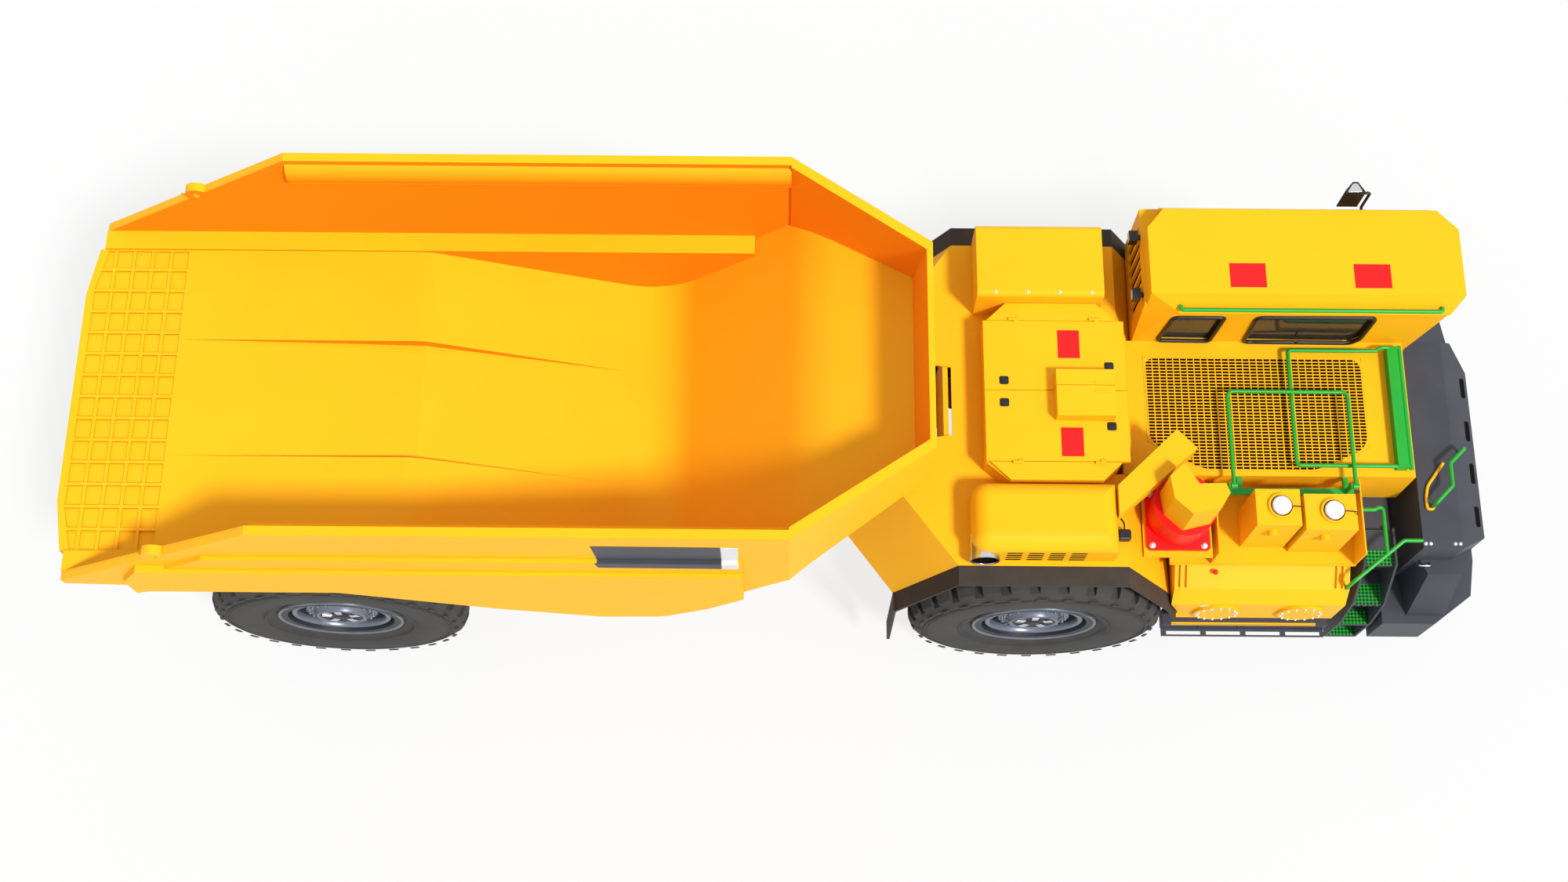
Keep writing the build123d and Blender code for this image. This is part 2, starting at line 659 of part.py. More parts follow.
# webs with the tipping pivots, and the lugs of the hoist
with BuildPart() as box_webs:
    prism(side_plane(web_y[1]), [
        (tip_x - tip_lug_radius, floor_tail - 60), (tip_x - tip_lug_radius, tip_z - 45),
        (tip_x - 45, tip_z - tip_lug_radius), (tip_x + 90, tip_z - tip_lug_radius),
        (tip_x + 170, rail_top + seat_gap), (-1750, rail_top + seat_gap), (-1750, 1650),
        (floor_points[1][0], floor_tail - 60),
    ], web_y[1] - web_y[0])
    for inner in (hoist_y - lug_gap - lug_plate, hoist_y + lug_gap):
        prism(side_plane(inner + lug_plate), [
            (hoist_eye_x - 90, floor_tail - 60), (hoist_eye_x - 90, hoist_eye_z),
            (hoist_eye_x - 40, hoist_eye_z - 80), (hoist_eye_x + 40, hoist_eye_z - 80),
            (hoist_eye_x + 90, hoist_eye_z), (hoist_eye_x + 90, floor_tail - 60),
        ], lug_plate)
    bar((tip_x, tip_z), (web_y[0] - 1, web_y[1] + 1), tip_pin_radius + seat_gap, mode=Mode.SUBTRACT)
    # they end against the underside of the floor
    with BuildSketch(side_plane(hoist_y + 200)) as floor_room:
        with BuildLine():
            underside = floor_line(floor_thickness + seat_gap)
            Polyline(underside @ 1, (floor_points[-1][0], box_top), (tail_x, box_top), underside @ 0)
        make_face()
    extrude(floor_room.sketch, amount=hoist_y + 200, mode=Mode.SUBTRACT)
    prism(side_plane(hoist_y + 200), [
        (bay_rear_x + 400, floor_tail - floor_thickness + 5 - seat_gap),
        (floor_points[1][0], bay_low - bay_plate - seat_gap), (bay_front[0] - 250, bay_front[1] + 17 - seat_gap),
        (bay_front[0] - 250, bay_front[1] + 200), (floor_points[1][0], floor_tail + 100),
        (bay_rear_x + 400, floor_tail + 100),
    ], hoist_y + 200, mode=Mode.SUBTRACT)
    mirror(about=Plane.XZ)
finish(box_webs.part, "box_webs")

# ------------------------------------------------------------------ hoist and steering cylinders
hoist_run = hypot(hoist_eye_x - hoist_x, hoist_eye_z - hoist_z)
hoist_barrel_bore = hoist_sleeve_radius + seat_gap
hoist_sleeve_bore = hoist_rod_radius + seat_gap
hoist_sleeve_end = hoist_run - 110
for side, way in (("left", 1), ("right", -1)):
    foot = (hoist_x, way * hoist_y, hoist_z)
    head = (hoist_eye_x, way * hoist_y, hoist_eye_z)
    foot_y = (way * (hoist_y - hoist_eye_width / 2), way * (hoist_y + hoist_eye_width / 2))
    with BuildPart() as hoist_barrel:
        bar((hoist_x, hoist_z), foot_y, hoist_eye_radius + 10)
        barrel(foot, along(foot, head, hoist_barrel_length), hoist_barrel_radius)
        barrel(along(foot, head, hoist_end + hoist_pin_radius), along(foot, head, hoist_barrel_length + 1),
               hoist_barrel_bore, mode=Mode.SUBTRACT)
        bar((hoist_x, hoist_z), (way * (hoist_y - 100), way * (hoist_y + 100)),
            hoist_pin_radius + seat_gap, mode=Mode.SUBTRACT)
    finish(hoist_barrel.part, f"hoist_barrel_{side}")
    with BuildPart() as hoist_sleeve:
        barrel(along(foot, head, hoist_end + hoist_pin_radius + play), along(foot, head, hoist_sleeve_end),
               hoist_sleeve_radius)
        barrel(along(foot, head, hoist_end + hoist_pin_radius + play + 25),
               along(foot, head, hoist_sleeve_end + 1), hoist_sleeve_bore, mode=Mode.SUBTRACT)
    finish(hoist_sleeve.part, f"hoist_sleeve_{side}")
    with BuildPart() as hoist_rod:
        barrel(along(foot, head, hoist_end + hoist_pin_radius + play + 30), head, hoist_rod_radius)
        bar((hoist_eye_x, hoist_eye_z), foot_y, hoist_eye_radius - 10)
    finish(hoist_rod.part, f"hoist_rod_{side}")

    foot = (steer_front[0], way * steer_front[1], steer_height)
    head = (steer_rear[0], way * steer_rear[1], steer_height)
    eye_z_range = (steer_height - steer_eye_height / 2, steer_height + steer_eye_height / 2)
    with BuildPart() as steer_barrel:
        barrel(along(foot, head, 50), along(foot, head, steer_neck + 1), 40)
        barrel(along(foot, head, steer_neck), along(foot, head, steer_barrel_length), steer_barrel_radius)
        barrel(along(foot, head, steer_neck + 25), along(foot, head, steer_barrel_length + 1),
               steer_barrel_radius - hoist_wall, mode=Mode.SUBTRACT)
        barrel(along(foot, head, steer_barrel_length - 40), along(foot, head, steer_barrel_length),
               steer_barrel_radius)
        barrel(along(foot, head, steer_barrel_length - 41), along(foot, head, steer_barrel_length + 1),
               steer_rod_radius + seat_gap, mode=Mode.SUBTRACT)
        post(foot[:2], eye_z_range, steer_eye)
        post(foot[:2], (0, 2 * steer_height), steer_pin, mode=Mode.SUBTRACT)
    finish(steer_barrel.part, f"steering_barrel_{side}")
    with BuildPart() as steer_rod:
        barrel(along(foot, head, steer_rod_inside), head, steer_rod_radius)
        barrel(along(foot, head, steer_rod_inside), along(foot, head, steer_rod_inside + 30),
               steer_barrel_radius - hoist_wall - seat_gap)
        post(head[:2], eye_z_range, steer_eye)
    finish(steer_rod.part, f"steering_rod_{side}")

# ------------------------------------------------------------------ front deck and fenders
deck_front = rad_deck_x[0]
bay_half = hood_half - 60
with BuildPart() as rear_deck:
    # level plate between the fenders, with the notch over the hitch and the engine bay's opening
    half_plate = [
        (notch_x, 0), (notch_x, notch_half), (deck_rear, notch_half + 60), (deck_rear, deck_rear_half - seat_gap),
        (fender_rear - seat_gap, deck_rear_half - seat_gap), (fender_rear - seat_gap, fender_inside - seat_gap),
        (deck_front - 110, fender_inside - seat_gap), (deck_front - 110, 0),
    ]
    prism(Plane.XY.offset(deck_height - sheet), half_plate, sheet)
    block((hood_x[0] + 60, deck_front - 130), (-1, bay_half), (deck_height - 100, deck_height + 100),
          mode=Mode.SUBTRACT)
    mirror(about=Plane.XZ)
    # bulkhead behind the engine bay, standing on the chassis
    block((1200, 1240), (-chassis_outside, chassis_outside), (chassis_top + seat_gap, deck_height - sheet))
finish(rear_deck.part, "rear_deck")

for side, way in (("left", 1), ("right", -1)):
    with BuildPart() as fender:
        under = [(x, z - sheet) for x, z in fender_line[1:]]
        under[-1] = (fender_line[-1][0] - 1.2 * sheet, fender_line[-1][1])
        # plate over the tyre
        prism(side_plane(max(way * fender_inside, way * fender_outside)), fender_line[1:] + under[::-1],
              fender_outside - fender_inside)
        # inner wheelhouse wall
        prism(side_plane(max(way * fender_inside, way * (fender_inside + sheet))), [
            (fender_rear, deck_height - 1), (fender_front, deck_height - 1), (3000, 1520), (3000, 1450),
            (1010, 1450), (1010, 1800), (fender_rear - 60, deck_height - 60), (fender_rear, deck_height - 60),
        ], sheet)
        # corner of the deck behind the tyre, and the sloped plate hanging from its slanted edge
        prism(Plane.XY.offset(deck_height - sheet), [
            (deck_rear, way * deck_rear_half), (fender_rear, way * fender_outside),
            (fender_rear, way * deck_rear_half),
        ], sheet)
        high = [Vector(deck_rear, way * deck_rear_half, deck_height),
                Vector(fender_rear, way * fender_outside, deck_height)]
        fall = Vector(fender_line[0][0] - fender_rear, 0, fender_line[0][1] - deck_height)
        slope = Face(Wire.make_polygon([*high, high[1] + fall, high[0] + fall]))
        extrude(slope, amount=sheet, dir=(1, 0, 0))
    finish(fender.part, f"fender_{side}")

with BuildPart() as fender_lips:
    lip_inside = fender_outside + seat_gap
    lip_line = fender_line
    lip_under = [(x, z - lip_thickness) for x, z in fender_line]
    lip_under[0] = (fender_line[0][0] + 1.2 * lip_thickness, fender_line[0][1])
    lip_under[-1] = (fender_line[-1][0] - 1.2 * lip_thickness, fender_line[-1][1])
    prism(side_plane(lip_inside + lip_width), lip_line + lip_under[::-1], lip_width)
    block((fender_line[0][0], fender_line[0][0] + lip_thickness), (lip_inside, lip_inside + lip_width),
          (flap_foot, fender_line[0][1] + 20))
    mirror(about=Plane.XZ)
finish(fender_lips.part, "fender_lips")

# ------------------------------------------------------------------ engine bay
bay_wall = 25
lid_low = hood_top - hood_lid
hood_hinge = (hood_half + 12, hood_top + hood_knuckle)      # Y and Z of the left lid's axis
with BuildPart() as engine_block:
    block((hood_x[0] + 120, deck_front - 200), (-chassis_inside + 20, chassis_inside - 20),
          (chassis_top - 150, chassis_top + 250))
    block((hood_x[0] + 180, deck_front - 260), (-bay_half + 60, bay_half - 60), (chassis_top + 20, deck_height - 60))
    block((hood_x[0] + 260, deck_front - 340), (-bay_half + 150, bay_half - 150),
          (deck_height - 60, lid_low - 60))
    for way in (1, -1):
        for x in (hood_x[0] + 200, hood_x[0] + 750):
            block((x, x + 90), (way * (chassis_inside - 21), way * (chassis_inside - seat_gap)),
                  (chassis_top - 150, chassis_top - 40))
        bar_y = way * (bay_half - 60)
        with Locations((hood_x[0] + 560, bar_y - way * 60, deck_height - 20)):
            Cylinder(90, 700, rotation=(0, 90, 0))
finish(engine_block.part, "engine_block")

with BuildPart() as hood_base:
    rim_plan = [
        (hood_x[0], hood_half), (hood_x[0] + 180, hood_base_half), (hood_x[1] - 210, hood_base_half),
        (hood_x[1] - 60, hood_half), (hood_x[1] - 60, 0), (hood_x[0], 0),
    ]
    prism(Plane.XY.offset(deck_height + seat_gap), rim_plan, lid_low - deck_height - 2 * seat_gap)
    block((hood_x[0] + bay_wall, hood_x[1] - 60 - bay_wall), (-1, hood_half - bay_wall),
          (deck_height - 1, lid_low + 1), mode=Mode.SUBTRACT)
    # raised shoulders outside the lids
    prism(Plane.XY.offset(lid_low - 2), [
        (hood_x[0] + 30, hood_half + play), (hood_x[0] + 180, hood_base_half), (hood_x[1] - 210, hood_base_half),
        (hood_x[1] - 60, hood_half + play),
    ], hood_lid)
    for x in hood_hinges:
        block((x, x + 40), (hood_hinge[0] - 4, hood_hinge[0] + hood_knuckle), (hood_top - 3, hood_hinge[1]))
        barrel((x, *hood_hinge), (x + 40, *hood_hinge), hood_knuckle)
        barrel((x + 39, *hood_hinge), (x + 80, *hood_hinge), hood_pin)
    mirror(about=Plane.XZ)
finish(hood_base.part, "hood_base")

for side, way in (("left", 1), ("right", -1)):
    hatch_edge = hatch_y[1] if way > 0 else hatch_y[0]
    with BuildPart() as hood_door:
        block(hood_x, (way * play / 2, way * hood_half), (lid_low + seat_gap, hood_top))
        block(hatch_x, (way * play / 2, hatch_edge), (hood_top, hood_top + hatch_height))
        for x in hood_hinges:
            axis_y, axis_z = way * hood_hinge[0], hood_hinge[1]
            prism(cross_plane(x + 41), [
                (way * (hood_half - 20), hood_top - 1), (way * hood_half, hood_top - 1), (way * hood_half, hood_top + 1),
                (axis_y, hood_top + 1), (axis_y, axis_z + 2), (way * (hood_half - 5), axis_z + 2),
            ], 39)
            barrel((x + 41, axis_y, axis_z), (x + 80, axis_y, axis_z), hood_knuckle)
            barrel((x + 40, axis_y, axis_z), (x + 81, axis_y, axis_z), hood_pin + seat_gap, mode=Mode.SUBTRACT)
    finish(hood_door.part, f"hood_door_{side}")

with BuildPart() as housing_left:
    block(left_box_x, left_box_y, (deck_height + seat_gap, left_box_top))
    long_edges = housing_left.edges().filter_by(Axis.X).group_by(Axis.Z)[-1]
    fillet(long_edges, radius=45)
finish(housing_left.part, "housing_left")

with BuildPart() as housing_right:
    block(right_box_x, right_box_y, (deck_height + seat_gap, right_box_top))
    fillet(housing_right.edges().filter_by(Axis.Z).group_by(Axis.X)[0], radius=right_box_round - 20)
    fillet(housing_right.faces().sort_by(Axis.Z)[-1].edges(), radius=right_box_round)
    bar((right_box_x[0] + 100, deck_height + 120), (right_box_y[0] - 10, right_box_y[0] + 160), 112,
        mode=Mode.SUBTRACT)
finish(housing_right.part, "housing_right")

with BuildPart() as exhaust_pipe:
    centre = (right_box_x[0] + 100, deck_height + 120)
    bar(centre, (right_box_y[0] - 40, right_box_y[0] + 159), 112 - seat_gap)
    bar(centre, (right_box_y[0] - 41, right_box_y[0] + 120), 100, mode=Mode.SUBTRACT)
finish(exhaust_pipe.part, "exhaust_pipe")

# ------------------------------------------------------------------ radiator deck
grille_corner = 420
grille_plan = [
    (grille_x[0], grille_y[1]), (grille_x[1], grille_y[1]), (grille_x[1], -320),
    (grille_x[1] - grille_corner, grille_y[0]), (grille_x[0] + grille_corner, grille_y[0]), (grille_x[0], -280),
]
deck_plan = [
    (rad_deck_x[0], rad_deck_y[1]), (rad_deck_x[1], rad_deck_y[1]), (rad_deck_x[1], rad_deck_y[0]),
    (rad_deck_x[0], rad_deck_y[0]),
]
with BuildPart() as radiator_deck:
    prism(Plane.XY.offset(chassis_top + seat_gap), deck_plan, rad_deck_height - chassis_top - seat_gap)
    prism(Plane.XY.offset(rad_deck_height - grille_thickness), grille_plan, grille_thickness + 1,
          mode=Mode.SUBTRACT)
    prism(Plane.XY.offset(chassis_top + 150), [(grille_x[0] + 40, grille_y[1] - 40), (grille_x[1] - 40, grille_y[1] - 40),
          (grille_x[1] - 40, -300), (grille_x[0] + 40, -300)], 600, mode=Mode.SUBTRACT)
    # step from the radiator deck up to the hood
    block((rad_deck_x[0], rad_deck_x[0] + 30), (rad_deck_y[0] + 100, rad_deck_y[1] - 60),
          (rad_deck_height - 1, deck_height + 90))
finish(radiator_deck.part, "radiator_deck")

slot_pitch_x, slot_pitch_y = 125, 62
with BuildPart() as radiator_grille:
    prism(Plane.XY.offset(rad_deck_height - grille_thickness + seat_gap), [
        (x + seat_gap * (1 if x < 3600 else -1), y + seat_gap * (1 if y < 0 else -1)) for x, y in grille_plan
    ], grille_thickness)
    with BuildSketch(Plane.XY.offset(rad_deck_height + 5)) as slots:
        with Locations(((grille_x[0] + grille_x[1]) / 2, 70)):
            with GridLocations(slot_pitch_x, slot_pitch_y, 13, 11):
                Rectangle(slot_pitch_x - 25, slot_pitch_y - 25)
    extrude(slots.sketch, amount=-40, mode=Mode.SUBTRACT)
finish(radiator_grille.part, "radiator_grille")

# ------------------------------------------------------------------ right-hand equipment
with BuildPart() as service_shelf:
    block(shelf_x, shelf_y, (shelf_height - sheet, shelf_height))
    # drop plate to the tank and upright end plates
    block((shelf_x[0], shelf_x[1]), (shelf_y[0], shelf_y[0] + 15), (tank_z[1] - sheet + seat_gap, shelf_height))
    for x in (fillers[0][0] - 240, shelf_x[1] - 12):
        block((x, x + 12), shelf_y, (shelf_height - 1, cleaner_base + 60))
    # pedestal of the air cleaner, with its overhanging plate
    block((fender_line[3][0] - 110, cleaner_centre[0] + cleaner_flange / 2 - 30),
          (cleaner_centre[1] - cleaner_flange / 2 + 30, shelf_y[1] - 20), (shelf_height - 1, cleaner_base - seat_gap))
    block((cleaner_centre[0] - cleaner_flange / 2 - 25, cleaner_centre[0] + cleaner_flange / 2 + 20),
          (cleaner_centre[1] - cleaner_flange / 2 - 50, shelf_y[1] - 20),
          (cleaner_base - sheet - seat_gap, cleaner_base - seat_gap))
finish(service_shelf.part, "service_shelf")

with BuildPart() as air_cleaner:
    with Locations((*cleaner_centre, cleaner_base + 15)):
        Box(cleaner_flange, cleaner_flange, 30)
    post(cleaner_body, (cleaner_base + 10, cleaner_top), cleaner_radius)
    fillet(air_cleaner.edges().filter_by(Axis.Z).filter_by(GeomType.LINE), radius=30)
finish(air_cleaner.part, "air_cleaner")

guard_plan = [
    (-83, 195), (20, 32), (216, 39), (244, -37), (175, -152), (-40, -207), (-174, -82), (-198, 93),
]
duct_low, duct_high = deck_height + 120, deck_height + 330
with BuildPart() as intake_guard:
    # folded guard over the air cleaner
    prism(Plane.XY.offset(cleaner_top + seat_gap),
          [(cleaner_body[0] + x, cleaner_body[1] + y) for x, y in guard_plan], guard_height)
    # slanted duct from the right-hand housing
    duct_start = right_box_x[1] + seat_gap
    prism(Plane.XY.offset(duct_low), [
        (duct_start, -793), (duct_start + 472, -342), (duct_start + 620, -494), (duct_start, -1033),
    ], duct_high - duct_low)
finish(intake_guard.part, "intake_guard")

with BuildPart() as filler_boxes:
    for x, length, near, far in fillers:
        block((x, x + length), (near, far), (shelf_height + seat_gap, filler_top))
        middle = (x + length / 2 + 20, (near + far) / 2 + 8)
        post(middle, (filler_top - 1, filler_top + 20), filler_neck)
        post(middle, (filler_top - 30, filler_top + 21), filler_neck - 15, mode=Mode.SUBTRACT)
        bar((middle[0] - 40, filler_top - 160), (near - 40, near + 1), 40)
finish(filler_boxes.part, "filler_boxes")

with BuildPart() as filler_lids:
    for x, length, near, far in fillers:
        middle = (x + length / 2 + 20, (near + far) / 2 + 8)
        post(middle, (filler_top - 30 + seat_gap, filler_top + 32), filler_lid)
finish(filler_lids.part, "filler_lids")

with BuildPart() as side_tank:
    low, high = tank_z
    prism(cross_plane(tank_x[0]), [
        (tank_y[1], low), (tank_y[0] + 60, low), (tank_y[0], low + 90), (tank_y[0], high - 260),
        (tank_y[0] + 90, high - 110), (shelf_y[0] + 15 + seat_gap, high - 20), (tank_y[1], high - 20),
    ], tank_x[1] - tank_x[0])
    # room for the fender in front of the wheel
    prism(side_plane(tank_y[1] + 1), [
        (2950, 1640), (fender_line[3][0] + 15, fender_line[3][1]), (fender_line[4][0] + 15, fender_line[4][1]),
        (fender_line[4][0] + 15, low - 1), (2950, low - 1),
    ], tank_y[1] - tank_y[0] + 30, mode=Mode.SUBTRACT)
    for x in cover_x:
        bar((x, cover_z - 60), (tank_y[0] - 25, tank_y[0] + 1), cover_radius)
    for x in tank_feet:
        block((x, x + 110), (tank_y[1] - 1, -chassis_outside - seat_gap), (rail_bottom + 60, chassis_top - 60))
finish(side_tank.part, "side_tank")

with BuildPart() as side_sill:
    block(sill_x, sill_y, sill_z)
    block((fender_line[4][0] + 20, sill_x[1]), (sill_y[1] - 1, tank_y[1]), (sill_z[1] - 20, tank_z[0] - seat_gap))
    with Locations(((sill_x[0] + sill_x[1]) / 2, 0, sill_z[0] + 50)):
        with GridLocations(330, 1, 4, 1):
            Box(250, 3000, 40, mode=Mode.SUBTRACT)
finish(side_sill.part, "side_sill")

# ------------------------------------------------------------------ steps
step_x = (shelf_x[1] + 80, shelf_x[1] + 350)
step_thickness = 30
# near edge, height and depth of each tread
step_places = [(-1430, 450, 190), (-1430, 850, 230), (-1370, 1250, 300), (-1150, 1650, 300)]
with BuildPart() as steps:
    for y, z, depth in step_places:
        block(step_x, (y, y + depth), (z - step_thickness, z))
    # stringers that carry the treads
    for x in (step_x[0], step_x[1] - 18):
        prism(cross_plane(x), [
            (-1430, 420), (-1260, 420), (-850, 1620), (-850, 1700), (-1150, 1700), (-1370, 1300), (-1430, 900),
        ], 18)
    block(step_x, (-900, -chassis_outside - seat_gap), (1500, 1590))
finish(steps.part, "steps")

# ------------------------------------------------------------------ nose and bumper
with BuildPart() as nose:
    prism(Plane.XY.offset(nose_bottom), nose_outline, nose_top - nose_bottom)
    # front face slopes down from the fold
    prism(side_plane(nose_outline[0][1] + 1), [
        (nose_fold_x, nose_top + 1), (nose_fold_x + 400, nose_top + 1), (nose_fold_x + 400, nose_top - 90),
        (nose_front, nose_top - 90),
    ], 2000, mode=Mode.SUBTRACT)
    # faceted lamp fairing below the near end
    with BuildSketch(Plane.XY.offset(nose_bottom)) as foot_face:
        with BuildLine():
            Polyline(*fairing_foot, close=True)
        make_face()
    with BuildSketch(Plane.XY.offset(fairing_top)) as crown_face:
        with BuildLine():
            Polyline(*fairing_crown, close=True)
        make_face()
    loft([foot_face.sketch.face(), crown_face.sketch.face()], ruled=True)
finish(nose.part, "nose")

with BuildPart() as lower_bumper:
    prism(Plane.XY.offset(bumper_z[0]), [(x, -y) for x, y in bumper_outline] + bumper_outline[::-1],
          bumper_z[1] - bumper_z[0] - seat_gap)
    block((nose_rear - 580, nose_rear - 130), (-chassis_outside - 200, chassis_outside + 200),
          (bumper_z[0] - 1, bumper_z[1] + 1), mode=Mode.SUBTRACT)
    # room for the steps
    block((nose_rear - 580, step_x[1] + 40), (-half_width, -chassis_outside - 200),
          (bumper_z[0] - 1, bumper_z[1] + 1), mode=Mode.SUBTRACT)
finish(lower_bumper.part, "lower_bumper")

# ------------------------------------------------------------------ cab
cab_middle = sum(cab_y) / 2
bevel_points = [Vector(roof_x[0], roof_y[1], roof_top), Vector(2950, cab_y[0], cab_eave),
                Vector(cab_x[0], cab_y[0], 2090)]


def cut_corner_bevel():
    """Takes off the triangular bevel at the cab's inner rear corner."""
    first, second, third = bevel_points
    outward = (second - first).cross(third - first) * -1
    with BuildSketch(Plane(origin=second, z_dir=outward)) as face:
        Rectangle(4000, 4000)
    extrude(face.sketch, amount=900, mode=Mode.SUBTRACT)


door_hinges = (1480, 2440)
hinge_point = (door_x[0] + play, cab_y[1] + 18)
# window outlines in X and Z on the inner side wall, and in X and Z on the outer one
inner_windows = [
    [(2930, 2150), (3350, 2140), (3365, 2170), (3372, 2600), (3350, 2620), (3000, 2620), (2975, 2595),
     (2915, 2190)],
    [(3625, 2130), (4480, 2120), (4540, 2210), (4545, 2600), (4520, 2640), (3650, 2630), (3622, 2600),
     (3620, 2150)],
]
outer_windows = [[(2960, 1900), (3560, 1900), (3560, 2620), (2960, 2620)]]
screen_y = (680, 1350)
screen_z = (2060, 2640)


def screen_x(z):
    """Outer face of the leaning front wall at height z."""
    return cab_x[1] + (z - screen_foot) * (screen_top_x - cab_x[1]) / (cab_eave - screen_foot)


def screen_outline(out, back, gap):
    """Section of the front window between two depths behind the face, gap short of its opening."""
    low, high = screen_z[0] + gap, screen_z[1] - gap
    return [(screen_x(low) - out, low), (screen_x(high) - out, high), (screen_x(high) - back, high),
            (screen_x(low) - back, low)]


with BuildPart() as cab_shell:
    profile = [(cab_x[0], 2030), (fender_line[3][0] + 15, fender_line[3][1]), (fender_line[4][0] + 8, cab_floor),
               (cab_x[1], cab_floor), (cab_x[1], screen_foot),
               (screen_top_x, cab_eave - seat_gap), (cab_x[0], cab_eave - seat_gap)]
    prism(side_plane(cab_y[1]), profile, cab_y[1] - cab_y[0])
    cut_corner_bevel()
    hollow = [
        (cab_x[0] + cab_wall, 2060), (fender_line[3][0] + 80, 1540), (fender_line[4][0] + 75, cab_floor + 60),
        (cab_x[1] - cab_wall, cab_floor + 60),
        (cab_x[1] - cab_wall, screen_foot + 5), (screen_top_x - cab_wall, cab_eave + 1),
        (2950 + cab_wall, cab_eave + 1), (cab_x[0] + cab_wall, 2120),
    ]
    prism(side_plane(cab_y[1] - cab_wall), hollow, cab_y[1] - cab_y[0] - 2 * cab_wall, mode=Mode.SUBTRACT)
    for outline in inner_windows:
        prism(side_plane(cab_y[0] + cab_wall + 1), outline, cab_wall + 2, mode=Mode.SUBTRACT)
    for outline in outer_windows:
        prism(side_plane(cab_y[1] + 1), outline, cab_wall + 2, mode=Mode.SUBTRACT)
    block(door_x, (cab_y[1] - cab_wall - 1, cab_y[1] + 1), door_z, mode=Mode.SUBTRACT)
    prism(side_plane(screen_y[1]), screen_outline(-20, cab_wall + 20, 0), screen_y[1] - screen_y[0],
          mode=Mode.SUBTRACT)
    # hinge knuckles and pins of the door
    for z in door_hinges:
        block((door_x[0] - 20, door_x[0] - 1), (cab_y[1] - 1, hinge_point[1]), (z - 40, z))
        post(hinge_point, (z - 40, z), 14)
        post(hinge_point, (z - 1, z + 38), 6)
    # upright slots of the rear louvre
    with Locations((cab_x[0], cab_middle + 30, 2400)):
        with GridLocations(1, 100, 1, 6):
            Box(50, 70, 480, mode=Mode.SUBTRACT)
finish(cab_shell.part, "cab_shell")

with BuildPart() as cab_roof:
    prism(cross_plane(roof_x[0]), [
        (roof_y[0], cab_eave), (roof_y[1], roof_top), (roof_y[2], roof_top), (roof_y[3], cab_eave),
    ], roof_x[1] - roof_x[0])
    prism(side_plane(roof_y[3] + 1), [
        (screen_top_x, cab_eave - 1), (roof_x[1], roof_top), (roof_x[1] + 10, roof_top),
        (roof_x[1] + 10, cab_eave - 1),
    ], roof_y[3] - roof_y[0] + 2, mode=Mode.SUBTRACT)
    for corner_x, in_x in ((roof_x[0], 130), (roof_x[1], -155)):
        prism(Plane.XY.offset(cab_eave - 1), [
            (corner_x, roof_y[2] - 160), (corner_x + in_x, roof_y[2]), (corner_x + in_x, roof_y[3] + 1),
            (corner_x - in_x, roof_y[3] + 1), (corner_x - in_x, roof_y[2] - 160),
        ], roof_top - cab_eave + 2, mode=Mode.SUBTRACT)
    cut_corner_bevel()
    prism(cross_plane(3060), [
        (roof_y[1] + 10, cab_eave - 1), (roof_y[1] + 45, roof_top - 50), (roof_y[2] - 45, roof_top - 50),
        (roof_y[2] - 10, cab_eave - 1),
    ], 1900, mode=Mode.SUBTRACT)
finish(cab_roof.part, "cab_roof")


def pane(outline, y):
    """Adds a sheet of glass that fills the outline, a seat gap short of it all round."""
    with BuildSketch(side_plane(y)) as sheet_face:
        with BuildLine():
            Polyline(*outline, close=True)
        make_face()
        offset(amount=-seat_gap, kind=Kind.INTERSECTION)
    extrude(sheet_face.sketch, amount=glass_thickness)


with BuildPart() as cab_glass:
    for outline in inner_windows:
        pane(outline, cab_y[0] + 30)
    for outline in outer_windows:
        pane(outline, cab_y[1] - 20)
    prism(side_plane(screen_y[1] - seat_gap), screen_outline(20, 20 + glass_thickness, seat_gap),
          screen_y[1] - screen_y[0] - 2 * seat_gap)
finish(cab_glass.part, "cab_glass")

floor_top = cab_floor + 60 + seat_gap
with BuildPart() as cab_interior:
    block((seat_x - 220, seat_x + 220), (cab_middle - 200, cab_middle + 200), (floor_top, floor_top + 320))
    block((seat_x - 270, seat_x + 280), (cab_middle - 260, cab_middle + 260), (floor_top + 300, floor_top + 430))
    prism(side_plane(cab_middle + 250), [
        (seat_x - 270, floor_top + 400), (seat_x - 150, floor_top + 400), (seat_x - 210, floor_top + 1050),
        (seat_x - 310, floor_top + 1050),
    ], 500)
    prism(side_plane(cab_middle + 320), [
        (4300, floor_top), (cab_x[1] - cab_wall - 20, floor_top), (cab_x[1] - cab_wall - 20, floor_top + 620),
        (4620, floor_top + 680), (4560, floor_top + 40), (4300, floor_top + 40),
    ], 640)
    barrel((4640, cab_middle, floor_top + 600), (4330, cab_middle, floor_top + 830), 35)
    wheel_plate = Plane(origin=(4330, cab_middle, floor_top + 830), z_dir=(-310, 0, 230))
    with BuildSketch(wheel_plate) as steering_wheel:
        Circle(220)
        Circle(175, mode=Mode.SUBTRACT)
        Rectangle(400, 45)
        Circle(50)
    extrude(steering_wheel.sketch, amount=30)
finish(cab_interior.part, "cab_interior")

